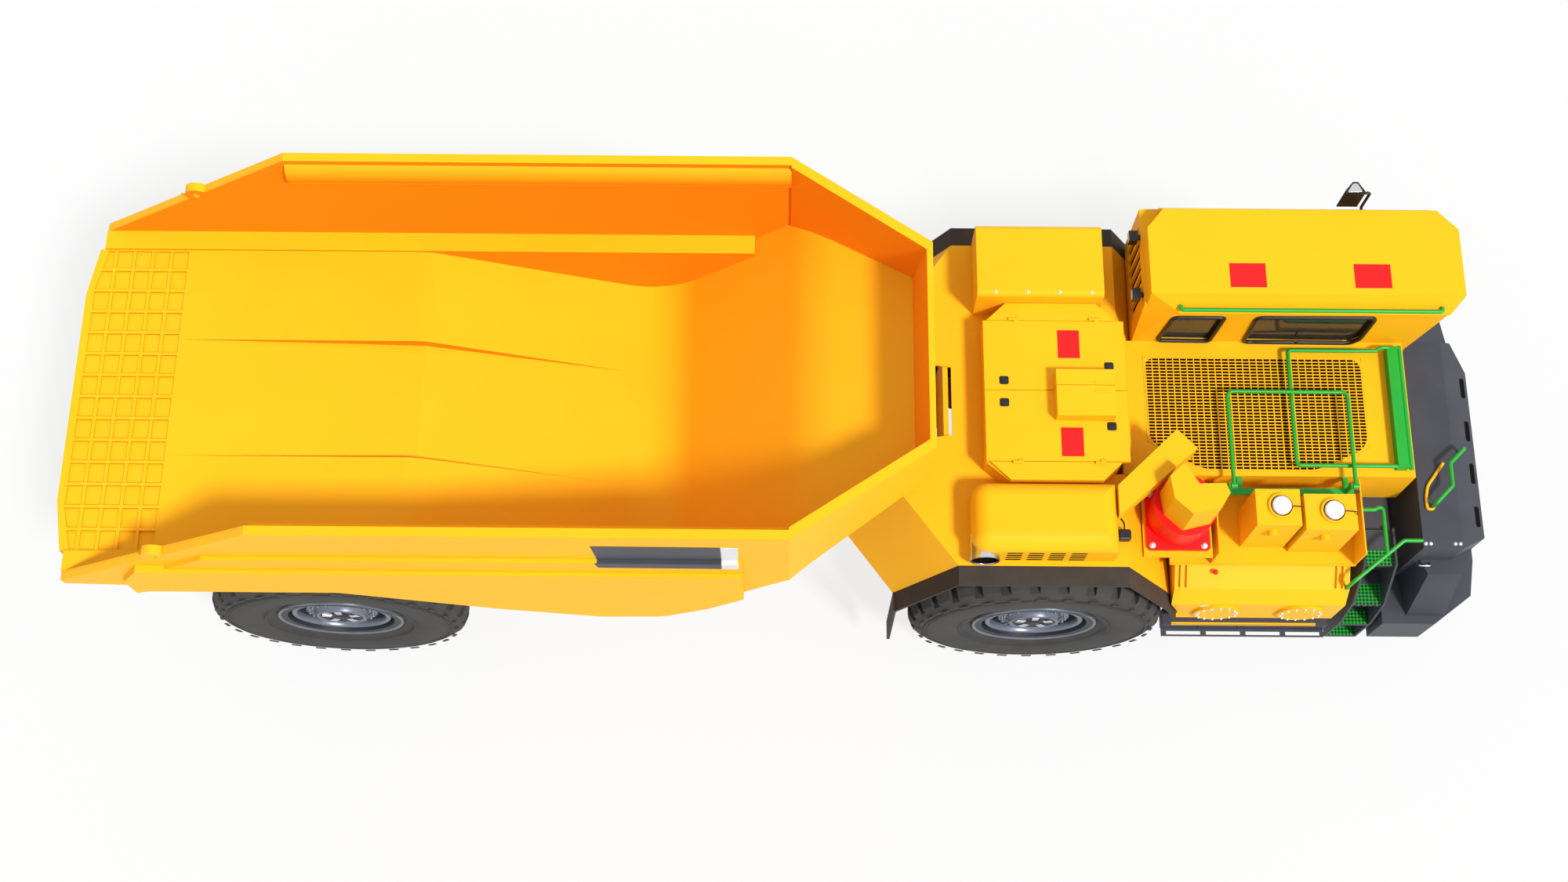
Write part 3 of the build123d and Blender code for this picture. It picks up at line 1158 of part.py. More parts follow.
pane_x = (door_x[0] + 130, door_x[1] - 110)
pane_z = (1980, 2600)
with BuildPart() as cab_door:
    block((door_x[0] + play, door_x[1] - play), (cab_y[1] - 40, cab_y[1]), (door_z[0] + play, door_z[1] - play))
    block(pane_x, (cab_y[1] - 41, cab_y[1] + 1), pane_z, mode=Mode.SUBTRACT)
    # hinges along the rear edge and the pull handle near the front one
    for z in door_hinges:
        block((hinge_point[0], door_x[0] + 90), (cab_y[1] - 1, hinge_point[1]), (z + seat_gap, z + 40))
        post(hinge_point, (z + seat_gap, z + 40), 14)
        post(hinge_point, (z, z + 41), 6 + seat_gap, mode=Mode.SUBTRACT)
    block((door_x[1] - 80, door_x[1] - 55), (cab_y[1] - 1, cab_y[1] + 45), (1750, 1990))
finish(cab_door.part, "cab_door")

with BuildPart() as door_glass:
    block((pane_x[0] + seat_gap, pane_x[1] - seat_gap), (cab_y[1] - 30, cab_y[1] - 20),
          (pane_z[0] + seat_gap, pane_z[1] - seat_gap))
finish(door_glass.part, "door_glass")

with BuildPart() as mirror_arm:
    near = roof_y[3] + 4
    rear, front = mirror_x
    prism(Plane.XY.offset(mirror_z[0]), [
        (rear, near), (rear + 10, near + 20), (rear + 75, mirror_y), (rear + 115, mirror_y), (front, near + 15),
        (front, near),
    ], mirror_z[1] - mirror_z[0])
    # bent arm down to the strip above the door
    tube([(front - 10, near + 30, mirror_z[1] - 60), (front + 55, near + 30, mirror_z[1] - 60),
          (front + 55, near + 30, door_z[1] + 30), (front + 55, cab_y[1] + seat_gap, door_z[1] + 30)], 12, 20)
finish(mirror_arm.part, "mirror")

with BuildPart() as lamps:
    for y in (730, 1220):
        block((cab_x[0] - 90, cab_x[0] - 25 - seat_gap), (y - 45, y + 45), (2640, 2715))
        block((cab_x[0] - 60, cab_x[0] - seat_gap), (y - 15, y + 15), (2660, 2695))
finish(lamps.part, "lamps")

# ------------------------------------------------------------------ handrails
rail_z = rad_deck_height + 80
fold_legs = (3440, 4385)
fold_y = -680
fold_z = rail_z + 2 * tube_radius + play
fold_end = 100
fold_pin = 10
bar_x = (rad_deck_x[1] - 155, rad_deck_x[1] - 70)
with BuildPart() as front_rail:
    # bar across the front of the radiator deck with the rail lying back from it
    block(bar_x, (-507, 500), (rad_deck_height + seat_gap, rail_z + 10))
    bar((bar_x[1] + 18, rail_z - 10), (-520, 515), tube_radius)
    tube([(bar_x[1] + 18, 500, rail_z - 10), (bar_x[0] - 40, 500, rail_z), (bar_x[0] - 90, 470, rail_z),
          (3955, 470, rail_z), (3955, -495, rail_z), (bar_x[1] + 18, -495, rail_z - 10)], thin_tube, 25)
finish(front_rail.part, "front_rail")

with BuildPart() as handrails:
    # bar beside the deck with the pins of the folding rail
    block((3420, 4410), (-705, -650), (rad_deck_height - 50, rad_deck_height - 20))
    for x in (3500, 4330):
        block((x, x + 40), (-655, rad_deck_y[0] - seat_gap), (rad_deck_height - 50, rad_deck_height - 20))
    for x in fold_legs:
        block((x - 44, x - 32), (fold_y - 22, fold_y + 22), (rad_deck_height - 50, fold_z + 24))
        barrel((x - 40, fold_y, fold_z), (x + 22, fold_y, fold_z), fold_pin)
    # rail on the cab's inner eave
    tube([(roof_rail_x[0], roof_y[0] + 31, eave_rail_z), (roof_rail_x[0], roof_y[0] - 5, eave_rail_z),
          (roof_rail_x[1], roof_y[0] - 5, eave_rail_z), (roof_rail_x[1], roof_y[0] + 31, eave_rail_z)],
         thin_tube, 20)
    # grab handle on the nose
    tube([(nose_front - 150, -275, nose_top - 16), (nose_front - 150, -275, nose_top + 110),
          (nose_front - 285, -410, nose_top + 130), (nose_front - 285, -595, nose_top + 130),
          (nose_front - 420, -735, nose_top + 110), (nose_front - 420, -735, nose_top + seat_gap)], thin_tube, 30)
    # climbing rails between the nose, the tank and the shelf
    tube([(nose_rear - seat_gap, -1008, shelf_height + 140), (nose_rear - 144, -1008, shelf_height + 140),
          (tank_x[1] - 25, -1330, shelf_height + 60), (tank_x[1] - 25, -1330, tank_z[1] - 97)], thin_tube, 40)
    tube([(shelf_x[1] + seat_gap, -760, shelf_height + 150), (shelf_x[1] + 140, -760, shelf_height + 150),
          (shelf_x[1] + 210, -722, shelf_height + 150), (shelf_x[1] + 222, -1113, shelf_height + 114)],
         thin_tube, 30)
finish(handrails.part, "handrails")

with BuildPart() as folding_rail:
    tube([(fold_legs[0], fold_y, fold_z), (fold_legs[0], fold_end, fold_z), (fold_legs[1], fold_end, fold_z),
          (fold_legs[1], fold_y, fold_z)], thin_tube, bend_radius)
    for x in fold_legs:
        barrel((x - 24, fold_y, fold_z), (x + 24, fold_y, fold_z), fold_pin + 12)
        barrel((x - 25, fold_y, fold_z), (x + 25, fold_y, fold_z), fold_pin + seat_gap, mode=Mode.SUBTRACT)
finish(folding_rail.part, "folding_rail")
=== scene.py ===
"""Look of the articulated mining dump truck, in metres, in the CAD model's frame.

+X is the front, +Y the left (cab) side and +Z up. Each piece rides on the body that holds it.
"""
import json
import math

import bmesh
import bpy
from mathutils import Matrix, Vector


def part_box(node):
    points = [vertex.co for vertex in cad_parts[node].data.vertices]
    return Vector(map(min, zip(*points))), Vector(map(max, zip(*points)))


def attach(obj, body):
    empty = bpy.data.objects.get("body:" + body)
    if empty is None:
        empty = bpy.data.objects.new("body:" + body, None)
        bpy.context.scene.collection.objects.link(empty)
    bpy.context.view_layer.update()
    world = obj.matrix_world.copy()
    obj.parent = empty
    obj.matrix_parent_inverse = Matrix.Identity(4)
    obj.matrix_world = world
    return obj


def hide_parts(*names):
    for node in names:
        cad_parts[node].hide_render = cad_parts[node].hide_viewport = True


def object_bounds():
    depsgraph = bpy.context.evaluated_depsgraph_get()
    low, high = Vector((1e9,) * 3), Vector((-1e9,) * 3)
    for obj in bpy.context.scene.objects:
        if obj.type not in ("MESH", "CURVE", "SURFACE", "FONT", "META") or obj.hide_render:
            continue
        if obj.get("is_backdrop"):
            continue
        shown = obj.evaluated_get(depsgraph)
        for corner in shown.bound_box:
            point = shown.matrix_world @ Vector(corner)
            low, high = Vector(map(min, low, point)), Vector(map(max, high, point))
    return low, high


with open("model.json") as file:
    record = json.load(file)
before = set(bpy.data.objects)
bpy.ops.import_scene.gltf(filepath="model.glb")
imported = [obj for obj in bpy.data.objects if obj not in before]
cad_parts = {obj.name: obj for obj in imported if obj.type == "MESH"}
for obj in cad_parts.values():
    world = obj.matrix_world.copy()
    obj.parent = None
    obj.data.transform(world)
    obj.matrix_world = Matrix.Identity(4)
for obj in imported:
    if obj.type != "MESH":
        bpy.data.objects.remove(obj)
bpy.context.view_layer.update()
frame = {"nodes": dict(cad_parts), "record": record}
nodes = frame["nodes"]

# ------------------------------------------------------------------ named values
YELLOW_PAINT = [0.88, 0.445, 0.0085]
GREEN_PAINT = [0.008, 0.33, 0.024]
CHECKER_GROOVE = (0.002, 0.03, 0.006, 1)
STEP_EDGE = (0.03, 0.032, 0.04, 1)
# deeper orange painted on the dump box's steep inner faces as painted shade, and how much of it
# they get
SHADE_ORANGE = (0.88, 0.20, 0.004, 1)
SHADE_SHARE = 0.85
BOX_INSIDE = 1.45

# faces of the CAD model that carry details; most details start 0.2 mm off the face
ROOF_FACE = 2.9002
LID_FACE = 2.5002
CAB_INNER_SIDE = 0.575
CAB_OUTER_SEAL = 1.456
DOOR_FACE = 1.4512
HOUSING_FACE = -1.2995
CLEANER_FLANGE = 2.0302
TANK_COVER = -1.4552
TANK_FACE = -1.4302
SILL_FACE = -1.4602
SILL_TOP = 0.9402
FLANGE_FOOT = 0.80
LAMP_FACE = 5.501
NOSE_EDGE = 5.29
NOSE_TOP = 1.9
NOSE_SLOPE = 0.42857
HUB_FACE = 1.093
TYRE_FACE = 1.5385


# ------------------------------------------------------------------ materials
def add_node(tree, kind, settings=None):
    """Adds a shader node, with its inputs set by name."""
    node = tree.nodes.new("ShaderNode" + kind)
    for socket, value in (settings or {}).items():
        node.inputs[socket].default_value = value
    return node


def calc(tree, operation, first, second, clamp=False):
    """Sum, product or comparison of two sockets or numbers."""
    node = add_node(tree, "Math")
    node.operation = operation
    node.use_clamp = clamp
    for socket, value in zip(node.inputs, (first, second)):
        if isinstance(value, (int, float)):
            socket.default_value = value
        else:
            tree.links.new(value, socket)
    return node.outputs["Value"]


def parts_of(tree, vector):
    """X, Y and Z sockets of a vector socket."""
    split = add_node(tree, "SeparateXYZ")
    tree.links.new(vector, split.inputs["Vector"])
    return split.outputs


def paint(name, colour, rough=0.45, coat=0.0, metal=0.0, vary=0.06, scale=3.0, grain=0.0,
          grain_scale=120.0, specular=0.35):
    """Principled material whose colour and roughness drift with noise; grain adds a fine bump."""
    mat = bpy.data.materials.new(name)
    mat.use_nodes = True
    tree = mat.node_tree
    shader = tree.nodes["Principled BSDF"]
    link = tree.links.new
    coords = add_node(tree, "TexCoord")
    noise = add_node(tree, "TexNoise", {"Scale": scale, "Detail": 5.0})
    link(coords.outputs["Object"], noise.inputs["Vector"])
    ramp = add_node(tree, "ValToRGB")
    stops = ramp.color_ramp.elements
    for stop, position, factor in zip(stops, (0.35, 0.65), (1 - vary, 1 + vary)):
        stop.position = position
        stop.color = [c * factor for c in colour] + [1]
    link(noise.outputs["Fac"], ramp.inputs["Fac"])
    link(ramp.outputs["Color"], shader.inputs["Base Color"])
    spread = add_node(tree, "MapRange", {"To Min": max(0.02, rough - 0.06),
                                         "To Max": min(1.0, rough + 0.06)})
    link(noise.outputs["Fac"], spread.inputs["Value"])
    link(spread.outputs["Result"], shader.inputs["Roughness"])
    shader.inputs["Metallic"].default_value = metal
    shader.inputs["Coat Weight"].default_value = coat
    shader.inputs["Coat Roughness"].default_value = 0.12
    shader.inputs["Specular IOR Level"].default_value = specular
    if grain:
        fine = add_node(tree, "TexNoise", {"Scale": grain_scale, "Detail": 3.0})
        link(coords.outputs["Object"], fine.inputs["Vector"])
        bump = add_node(tree, "Bump", {"Strength": grain, "Distance": 0.002})
        link(fine.outputs["Fac"], bump.inputs["Height"])
        link(bump.outputs["Normal"], shader.inputs["Normal"])
    return mat


def mix_colours(tree, factor, first, second):
    """Blend of two colours; each of them is a socket or a fixed colour."""
    mix = add_node(tree, "Mix")
    mix.data_type = "RGBA"
    tree.links.new(factor, mix.inputs["Factor"])
    for socket, value in (("A", first), ("B", second)):
        if isinstance(value, tuple):
            mix.inputs[socket].default_value = value
        else:
            tree.links.new(value, mix.inputs[socket])
    return mix.outputs["Result"]


def glass(name, colour, see_through):
    """Dark window glass that lets part of the light straight through."""
    mat = paint(name, colour, rough=0.06, coat=0.3, specular=0.6, vary=0.1, scale=1.2)
    tree = mat.node_tree
    clear = add_node(tree, "BsdfTransparent", {"Color": [0.75, 0.78, 0.8, 1]})
    mix = add_node(tree, "MixShader", {"Fac": see_through})
    tree.links.new(tree.nodes["Principled BSDF"].outputs["BSDF"], mix.inputs[1])
    tree.links.new(clear.outputs["BSDF"], mix.inputs[2])
    tree.links.new(mix.outputs["Shader"], tree.nodes["Material Output"].inputs["Surface"])
    return mat


def tread_finish():
    """Green checker plate on faces that look up, dark paint on the rest."""
    mat = paint("tread", GREEN_PAINT, rough=0.4, vary=0.05, scale=4.0)
    tree = mat.node_tree
    link = tree.links.new
    base = tree.nodes["Principled BSDF"].inputs["Base Color"]
    green = base.links[0].from_socket
    coords = add_node(tree, "TexCoord")
    turn = add_node(tree, "Mapping", {"Rotation": (0, 0, math.radians(45))})
    link(coords.outputs["Object"], turn.inputs["Vector"])
    check = add_node(tree, "TexChecker", {"Scale": 48.0, "Color2": CHECKER_GROOVE})
    link(green, check.inputs["Color1"])
    link(turn.outputs["Vector"], check.inputs["Vector"])
    facing = parts_of(tree, coords.outputs["Normal"])
    level = calc(tree, "GREATER_THAN", facing["Z"], 0.8)
    link(mix_colours(tree, level, STEP_EDGE, check.outputs["Color"]), base)
    return mat


def box_shaded_finish():
    """Yellow paint with painted shade: it turns deeper orange on the steep inner faces of the dump
    box, as they look in shade.
    """
    mat = paint("box_yellow_painted_shade", YELLOW_PAINT, rough=0.5, vary=0.025, scale=0.9, grain=0.05,
                specular=0.13)
    tree = mat.node_tree
    base = tree.nodes["Principled BSDF"].inputs["Base Color"]
    yellow = base.links[0].from_socket
    coords = add_node(tree, "TexCoord")
    normal = parts_of(tree, coords.outputs["Normal"])
    place = parts_of(tree, coords.outputs["Object"])
    steep = calc(tree, "SUBTRACT", 1.0, normal["Z"], clamp=True)
    inside = calc(tree, "LESS_THAN", calc(tree, "ABSOLUTE", place["Y"], 0), BOX_INSIDE)
    rearward = calc(tree, "LESS_THAN", normal["X"], 0.3)
    upward = calc(tree, "GREATER_THAN", normal["Z"], -0.2)
    # share of painted shade, scaled by how steep the inner face is
    shade_amount = SHADE_SHARE
    for gate in (steep, inside, rearward, upward):
        shade_amount = calc(tree, "MULTIPLY", gate, shade_amount)
    tree.links.new(mix_colours(tree, shade_amount, yellow, SHADE_ORANGE), base)
    return mat


YELLOW = paint("yellow", YELLOW_PAINT, rough=0.5, vary=0.025, scale=0.9, grain=0.05, specular=0.13)
DARK = paint("dark_grey", [0.046, 0.049, 0.062], rough=0.5, vary=0.12, scale=2.0, grain=0.12,
             specular=0.3)
GREEN = paint("green", GREEN_PAINT, rough=0.35, vary=0.05, scale=4.0, specular=0.4)
RED = paint("red", [0.85, 0.006, 0.007], rough=0.4, vary=0.04, scale=2.0, specular=0.3)
TYRE = paint("tyre", [0.046, 0.045, 0.041], rough=0.75, vary=0.12, scale=5.0, grain=0.3,
             grain_scale=60.0, specular=0.25)
# lighter copy of the rim's dark paint for its raised rings and wheel bolts; on the outer flange
# ring it is a painted highlight
RIM_RING_HIGHLIGHT = paint("rim", [0.15, 0.17, 0.21], rough=0.35, metal=0.5, vary=0.12, scale=7.0)
RIM_DARK = paint("rim_recess", [0.016, 0.018, 0.024], rough=0.5, metal=0.1, vary=0.2, scale=7.0)
RUBBER = paint("rubber", [0.042, 0.033, 0.027], rough=0.7, vary=0.12, scale=6.0, grain=0.2,
               specular=0.25)
STEEL = paint("steel", [0.60, 0.61, 0.64], rough=0.25, metal=1.0, vary=0.05, scale=9.0)
IRON = paint("iron", [0.03, 0.03, 0.032], rough=0.6, metal=0.3, vary=0.2, scale=6.0, grain=0.3)
WHITE = paint("white", [0.64, 0.64, 0.66], rough=0.4, vary=0.03, scale=8.0)
BLACK = paint("black", [0.008, 0.008, 0.009], rough=0.4, vary=0.15, scale=9.0, specular=0.4)
# near-black finish for slots, vents, gaps and holes: painted shade of their insides
HOLE_SHADE = paint("painted_hole_shade", [0.004, 0.0025, 0.0015], rough=0.9, vary=0.2, scale=5.0, specular=0.1)
GLASS = glass("glass", [0.03, 0.035, 0.045], 0.45)
TREAD = tread_finish()
BOX = box_shaded_finish()

finish_of = {
    "yellow_paint": YELLOW, "dark_paint": DARK, "green_paint": GREEN, "red_paint": RED,
    "tyre": TYRE, "rim_paint": RIM_DARK, "black_rubber": RUBBER, "bright_steel": STEEL,
    "cylinder_paint": YELLOW, "engine_iron": IRON, "white_paint": WHITE, "black_plastic": BLACK,
    "window_glass": GLASS,
}
own_finish = {"steps": DARK, "dump_box": BOX, "box_side_left": BOX, "box_side_right": BOX}
for part in frame["record"]["subparts"]:
    thing = nodes[part["node"]]
    thing.data.materials.clear()
    thing.data.materials.append(own_finish.get(part["node"], finish_of[part["material_slot"]]))


# ------------------------------------------------------------------ making pieces
def piece(name, shape, body, mat, stands_for=()):
    """Puts a finished shape into the scene as a piece that rides on a CAD body."""
    mesh = shape.mesh(name)
    obj = bpy.data.objects.new(name, mesh)
    bpy.context.scene.collection.objects.link(obj)
    mesh.materials.append(mat)
    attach(obj, body)
    if stands_for:
        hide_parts(*stands_for)
    return obj


def front_piece(name, shape, mat):
    """Piece that rides on the front frame."""
    return piece(name, shape, "front_frame", mat)


def rounded(points, radius, steps=5):
    """Closed outline with its corners rounded."""
    out = []
    for i, corner in enumerate(points):
        corner = Vector(corner)
        before = Vector(points[i - 1]) - corner
        after = Vector(points[(i + 1) % len(points)]) - corner
        reach = min(radius, before.length * 0.45, after.length * 0.45)
        a, b = corner + before.normalized() * reach, corner + after.normalized() * reach
        for k in range(steps + 1):
            t = k / steps
            out.append(a * (1 - t) ** 2 + corner * 2 * t * (1 - t) + b * t ** 2)
    return out


def each_way(reach):
    """Span of the same reach to both sides."""
    return (-reach, reach)


def rounded_panel(plane, place, across, along, radius):
    """Rounded rectangle in a plane named by its two axes, with its spans given from a place."""
    first, second = ("XYZ".index(axis) for axis in plane)
    corners = []
    for a, b in ((0, 0), (1, 0), (1, 1), (0, 1)):
        corner = list(place)
        corner[first] += across[a]
        corner[second] += along[b]
        corners.append(corner)
    return rounded(corners, radius)


def flat(x, y, z):
    """Corners of a level rectangle."""
    return [(x[0], y[0], z), (x[1], y[0], z), (x[1], y[1], z), (x[0], y[1], z)]


def upright(x, y, z):
    """Corners of a rectangle that faces sideways."""
    return [(x[0], y, z[0]), (x[1], y, z[0]), (x[1], y, z[1]), (x[0], y, z[1])]


class Shape:
    """Mesh built up from beveled slabs, turned rings and bent rods."""

    def __init__(self):
        self.bm = bmesh.new()

    def _join(self, bm):
        held = bpy.data.meshes.new("held")
        bm.to_mesh(held)
        bm.free()
        self.bm.from_mesh(held)
        bpy.data.meshes.remove(held)

    def slab(self, outline, lift, bevel=0.003, segments=2):
        """Flat outline in space, raised by lift, with softened edges."""
        bm = bmesh.new()
        lift = Vector(lift)
        low = [bm.verts.new(Vector(p)) for p in outline]
        high = [bm.verts.new(Vector(p) + lift) for p in outline]
        count = len(low)
        bm.faces.new(low[::-1])
        top = bm.faces.new(high)
        for i in range(count):
            bm.faces.new((low[i], low[(i + 1) % count], high[(i + 1) % count], high[i]))
        bmesh.ops.recalc_face_normals(bm, faces=bm.faces[:])
        if bevel:
            bmesh.ops.bevel(bm, geom=list(top.edges), offset=bevel, segments=segments,
                            affect="EDGES", profile=0.5, clamp_overlap=True)
        self._join(bm)
        return self

    def block(self, low, high, bevel=0.004):
        """Block between two corners, with every edge softened."""
        bm = bmesh.new()
        size = [b - a for a, b in zip(low, high)]
        middle = [(a + b) / 2 for a, b in zip(low, high)]
        place = Matrix.Translation(middle) @ Matrix.Diagonal((*size, 1))
        bmesh.ops.create_cube(bm, size=1, matrix=place)
        if bevel:
            bmesh.ops.bevel(bm, geom=bm.edges[:], offset=bevel, segments=2, affect="EDGES",
                            profile=0.5, clamp_overlap=True)
        self._join(bm)
        return self

    def turned(self, centre, axis, profile, steps=64):
        """Profile of (radius, distance along the axis) turned round the axis."""
        bm = bmesh.new()
        facing = Vector(axis).to_track_quat("Z", "Y").to_matrix()
        rings = []
        for radius, along in profile:
            turns = [math.tau * k / steps for k in range(steps)]
            if radius < 1e-6:
                radius, turns = 0, [0]
            rings.append([
                bm.verts.new(Vector(centre) + facing @ Vector((
                    radius * math.cos(turn), radius * math.sin(turn), along)))
                for turn in turns
            ])
        for one, two in zip(rings, rings[1:]):
            for k in range(steps):
                corners = [one[k % len(one)], one[(k + 1) % len(one)],
                           two[(k + 1) % len(two)], two[k % len(two)]]
                bm.faces.new(list(dict.fromkeys(corners)))
        bmesh.ops.recalc_face_normals(bm, faces=bm.faces[:])
        for face in bm.faces:
            face.smooth = True
        self._join(bm)
        return self

    def bolt(self, centre, axis, radius, height):
        """Six-sided bolt head on a washer."""
        washer = height * 0.25
        self.turned(centre, axis, [(radius * 1.5, 0), (radius * 1.5, washer), (0, washer)], 16)
        self.turned(centre, axis, [(radius, height * 0.2), (radius, height * 0.85),
                                   (radius * 0.82, height), (0, height)], 6)
        return self

    def rod(self, points, radius, closed=False, bend=0.0):
        """Round bar along straight runs, with its corners rounded where bend is given."""
        if bend and not closed:
            mid = rounded(points, bend)
            per = len(mid) // len(points)
            points = [points[0]] + mid[per:-per] + [points[-1]]
        curve = bpy.data.curves.new("path", "CURVE")
        curve.dimensions = "3D"
        curve.bevel_depth = radius
        curve.bevel_resolution = 3
        curve.use_fill_caps = True
        run = curve.splines.new("POLY")
        run.points.add(len(points) - 1)
        for point, at in zip(run.points, points):
            point.co = (*at, 1)
        run.use_cyclic_u = closed
        holder = bpy.data.objects.new("path", curve)
        made = bpy.data.meshes.new_from_object(holder)
        for face in made.polygons:
            face.use_smooth = True
        self.bm.from_mesh(made)
        bpy.data.objects.remove(holder)
        bpy.data.curves.remove(curve)
        bpy.data.meshes.remove(made)
        return self

    def mesh(self, name):
        """The finished mesh, after which the shape can't grow."""
        made = bpy.data.meshes.new(name)
        self.bm.to_mesh(made)
        self.bm.free()
        return made


# ------------------------------------------------------------------ radiator grille
GRILLE_PLAN = [(2.811, 0.44), (4.56, 0.44), (4.56, -0.32), (4.14, -0.52), (3.23, -0.52),
               (2.811, -0.28)]
GRILLE_MIDDLE = Vector((3.685, -0.02, 0))
LONG_PITCH, CROSS_PITCH = 0.0268, 0.0556
BAR_DEPTH = 0.0095
BAR_BEVEL = 0.0015
EDGE_GAP = 0.004
FRAME_STEPS = 220


def sides_of(outline):
    """Pairs of neighbouring corners of a closed outline."""
    return zip(outline, outline[1:] + outline[:1])


def crossing(outline, fixed, value):
    """Span of a convex outline on the line where one coordinate has the value."""
    found = []
    for a, b in sides_of(outline):
        if (a[fixed] - value) * (b[fixed] - value) < 0:
            t = (value - a[fixed]) / (b[fixed] - a[fixed])
            found.append(a[1 - fixed] + t * (b[1 - fixed] - a[1 - fixed]))
    return (min(found), max(found)) if len(found) > 1 else None


def reach_to(outline, start, way):
    """Distance from a point inside an outline to its edge, in a direction."""
    best = None
    for a, b in sides_of(outline):
        a, b = Vector((*a, 0)), Vector((*b, 0))
        edge = b - a
        across = way.x * edge.y - way.y * edge.x
        if abs(across) < 1e-9:
            continue
        gap = a - start
        t = (gap.x * edge.y - gap.y * edge.x) / across
        u = (gap.x * way.y - gap.y * way.x) / across
        if t > 0 and -1e-6 <= u <= 1 + 1e-6 and (best is None or t < best):
            best = t
    return best


deck_low, deck_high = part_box("radiator_grille")
mesh_top = deck_high[2]
soft_plan = [(p.x, p.y) for p in rounded([(x, y, 0) for x, y in GRILLE_PLAN], 0.11, 7)]
grid = Shape()
for k in range(int(1.75 / CROSS_PITCH) + 1):
    x = 2.83 + k * CROSS_PITCH
    span = crossing(GRILLE_PLAN, 0, x)
    if span:
        grid.block((x - 0.0045, span[0] + EDGE_GAP, mesh_top - BAR_DEPTH),
                   (x + 0.0045, span[1] - EDGE_GAP, mesh_top), BAR_BEVEL)
for k in range(int(0.96 / LONG_PITCH) + 1):
    y = -0.507 + k * LONG_PITCH
    span = crossing(GRILLE_PLAN, 1, y)
    if span:
        grid.block((span[0] + EDGE_GAP, y - 0.0042, mesh_top - BAR_DEPTH),
                   (span[1] - EDGE_GAP, y + 0.0042, mesh_top - 0.001), BAR_BEVEL)
# flat frame that rounds the grille's corners
rim = []
for k in range(FRAME_STEPS):
    turn = math.tau * k / FRAME_STEPS
    way = Vector((math.cos(turn), math.sin(turn), 0))
    hits = [reach_to(outline, GRILLE_MIDDLE, way) for outline in (GRILLE_PLAN, soft_plan)]
    pair = [GRILLE_MIDDLE + way * reach for reach in (max(hits) - 0.001, min(hits) - 0.012)]
    rim.append([grid.bm.verts.new((p.x, p.y, mesh_top - 0.0004)) for p in pair])
for a, b in sides_of(rim):
    grid.bm.faces.new((a[0], b[0], b[1], a[1]))
piece("grille_mesh", grid, "front_frame", YELLOW, ("radiator_grille",))
# dark sheet under the grille's bars: painted shade of the space below them
shade = Shape().slab([(x, y, deck_low[2] + 0.0002) for x, y in GRILLE_PLAN], (0, 0, 0.0008), 0)
front_piece("grille_painted_shade", shade, HOLE_SHADE)

# ------------------------------------------------------------------ wheels
# profiles as (radius, distance out from the hub), in one table per finish
RIM_RINGS = (
    [(0.506, 0.385), (0.508, 0.403), (0.500, 0.411), (0.486, 0.409), (0.480, 0.398)],
    [(0.404, 0.330), (0.402, 0.372), (0.394, 0.380), (0.366, 0.380), (0.358, 0.372),
     (0.357, 0.330)],
    [(0.292, 0.300), (0.290, 0.340), (0.282, 0.347), (0.236, 0.347), (0.230, 0.340),
     (0.228, 0.325), (0.206, 0.325), (0.203, 0.385), (0.196, 0.393), (0.182, 0.393),
     (0.176, 0.386), (0.172, 0.380)],
)
RIM_RECESS = (
    [(0.484, 0.402), (0.472, 0.350), (0.455, 0.315), (0.420, 0.305), (0.400, 0.320)],
    [(0.360, 0.350), (0.352, 0.290), (0.335, 0.272), (0.305, 0.272), (0.290, 0.300)],
    [(0.180, 0.384), (0.150, 0.378), (0.060, 0.380), (0.052, 0.392), (0.0, 0.396)],
)
WHEEL_BOLTS, WHEEL_BOLT_RING, WHEEL_BOLT_SEAT = 20, 0.258, 0.346
HUB_PADS, HUB_BOLT_RING, HUB_SEAT = 5, 0.125, 0.379
PAD_CORNERS = ((0.085, -0.22), (0.085, 0.22), (0.158, 0.24), (0.158, -0.24))
TYRE_RIBS = (0.60, 0.875, 0.90)
TYRE_MARKS, MARK_RING = 28, 0.945
MARK_HALF = (0.014, 0.042)


def about(hub, turn, radius, out):
    """Point at a turn and radius round a wheel's axis, and a distance out from its hub."""
    return (hub[0] + radius * math.cos(turn), hub[1] + out, hub[2] + radius * math.sin(turn))


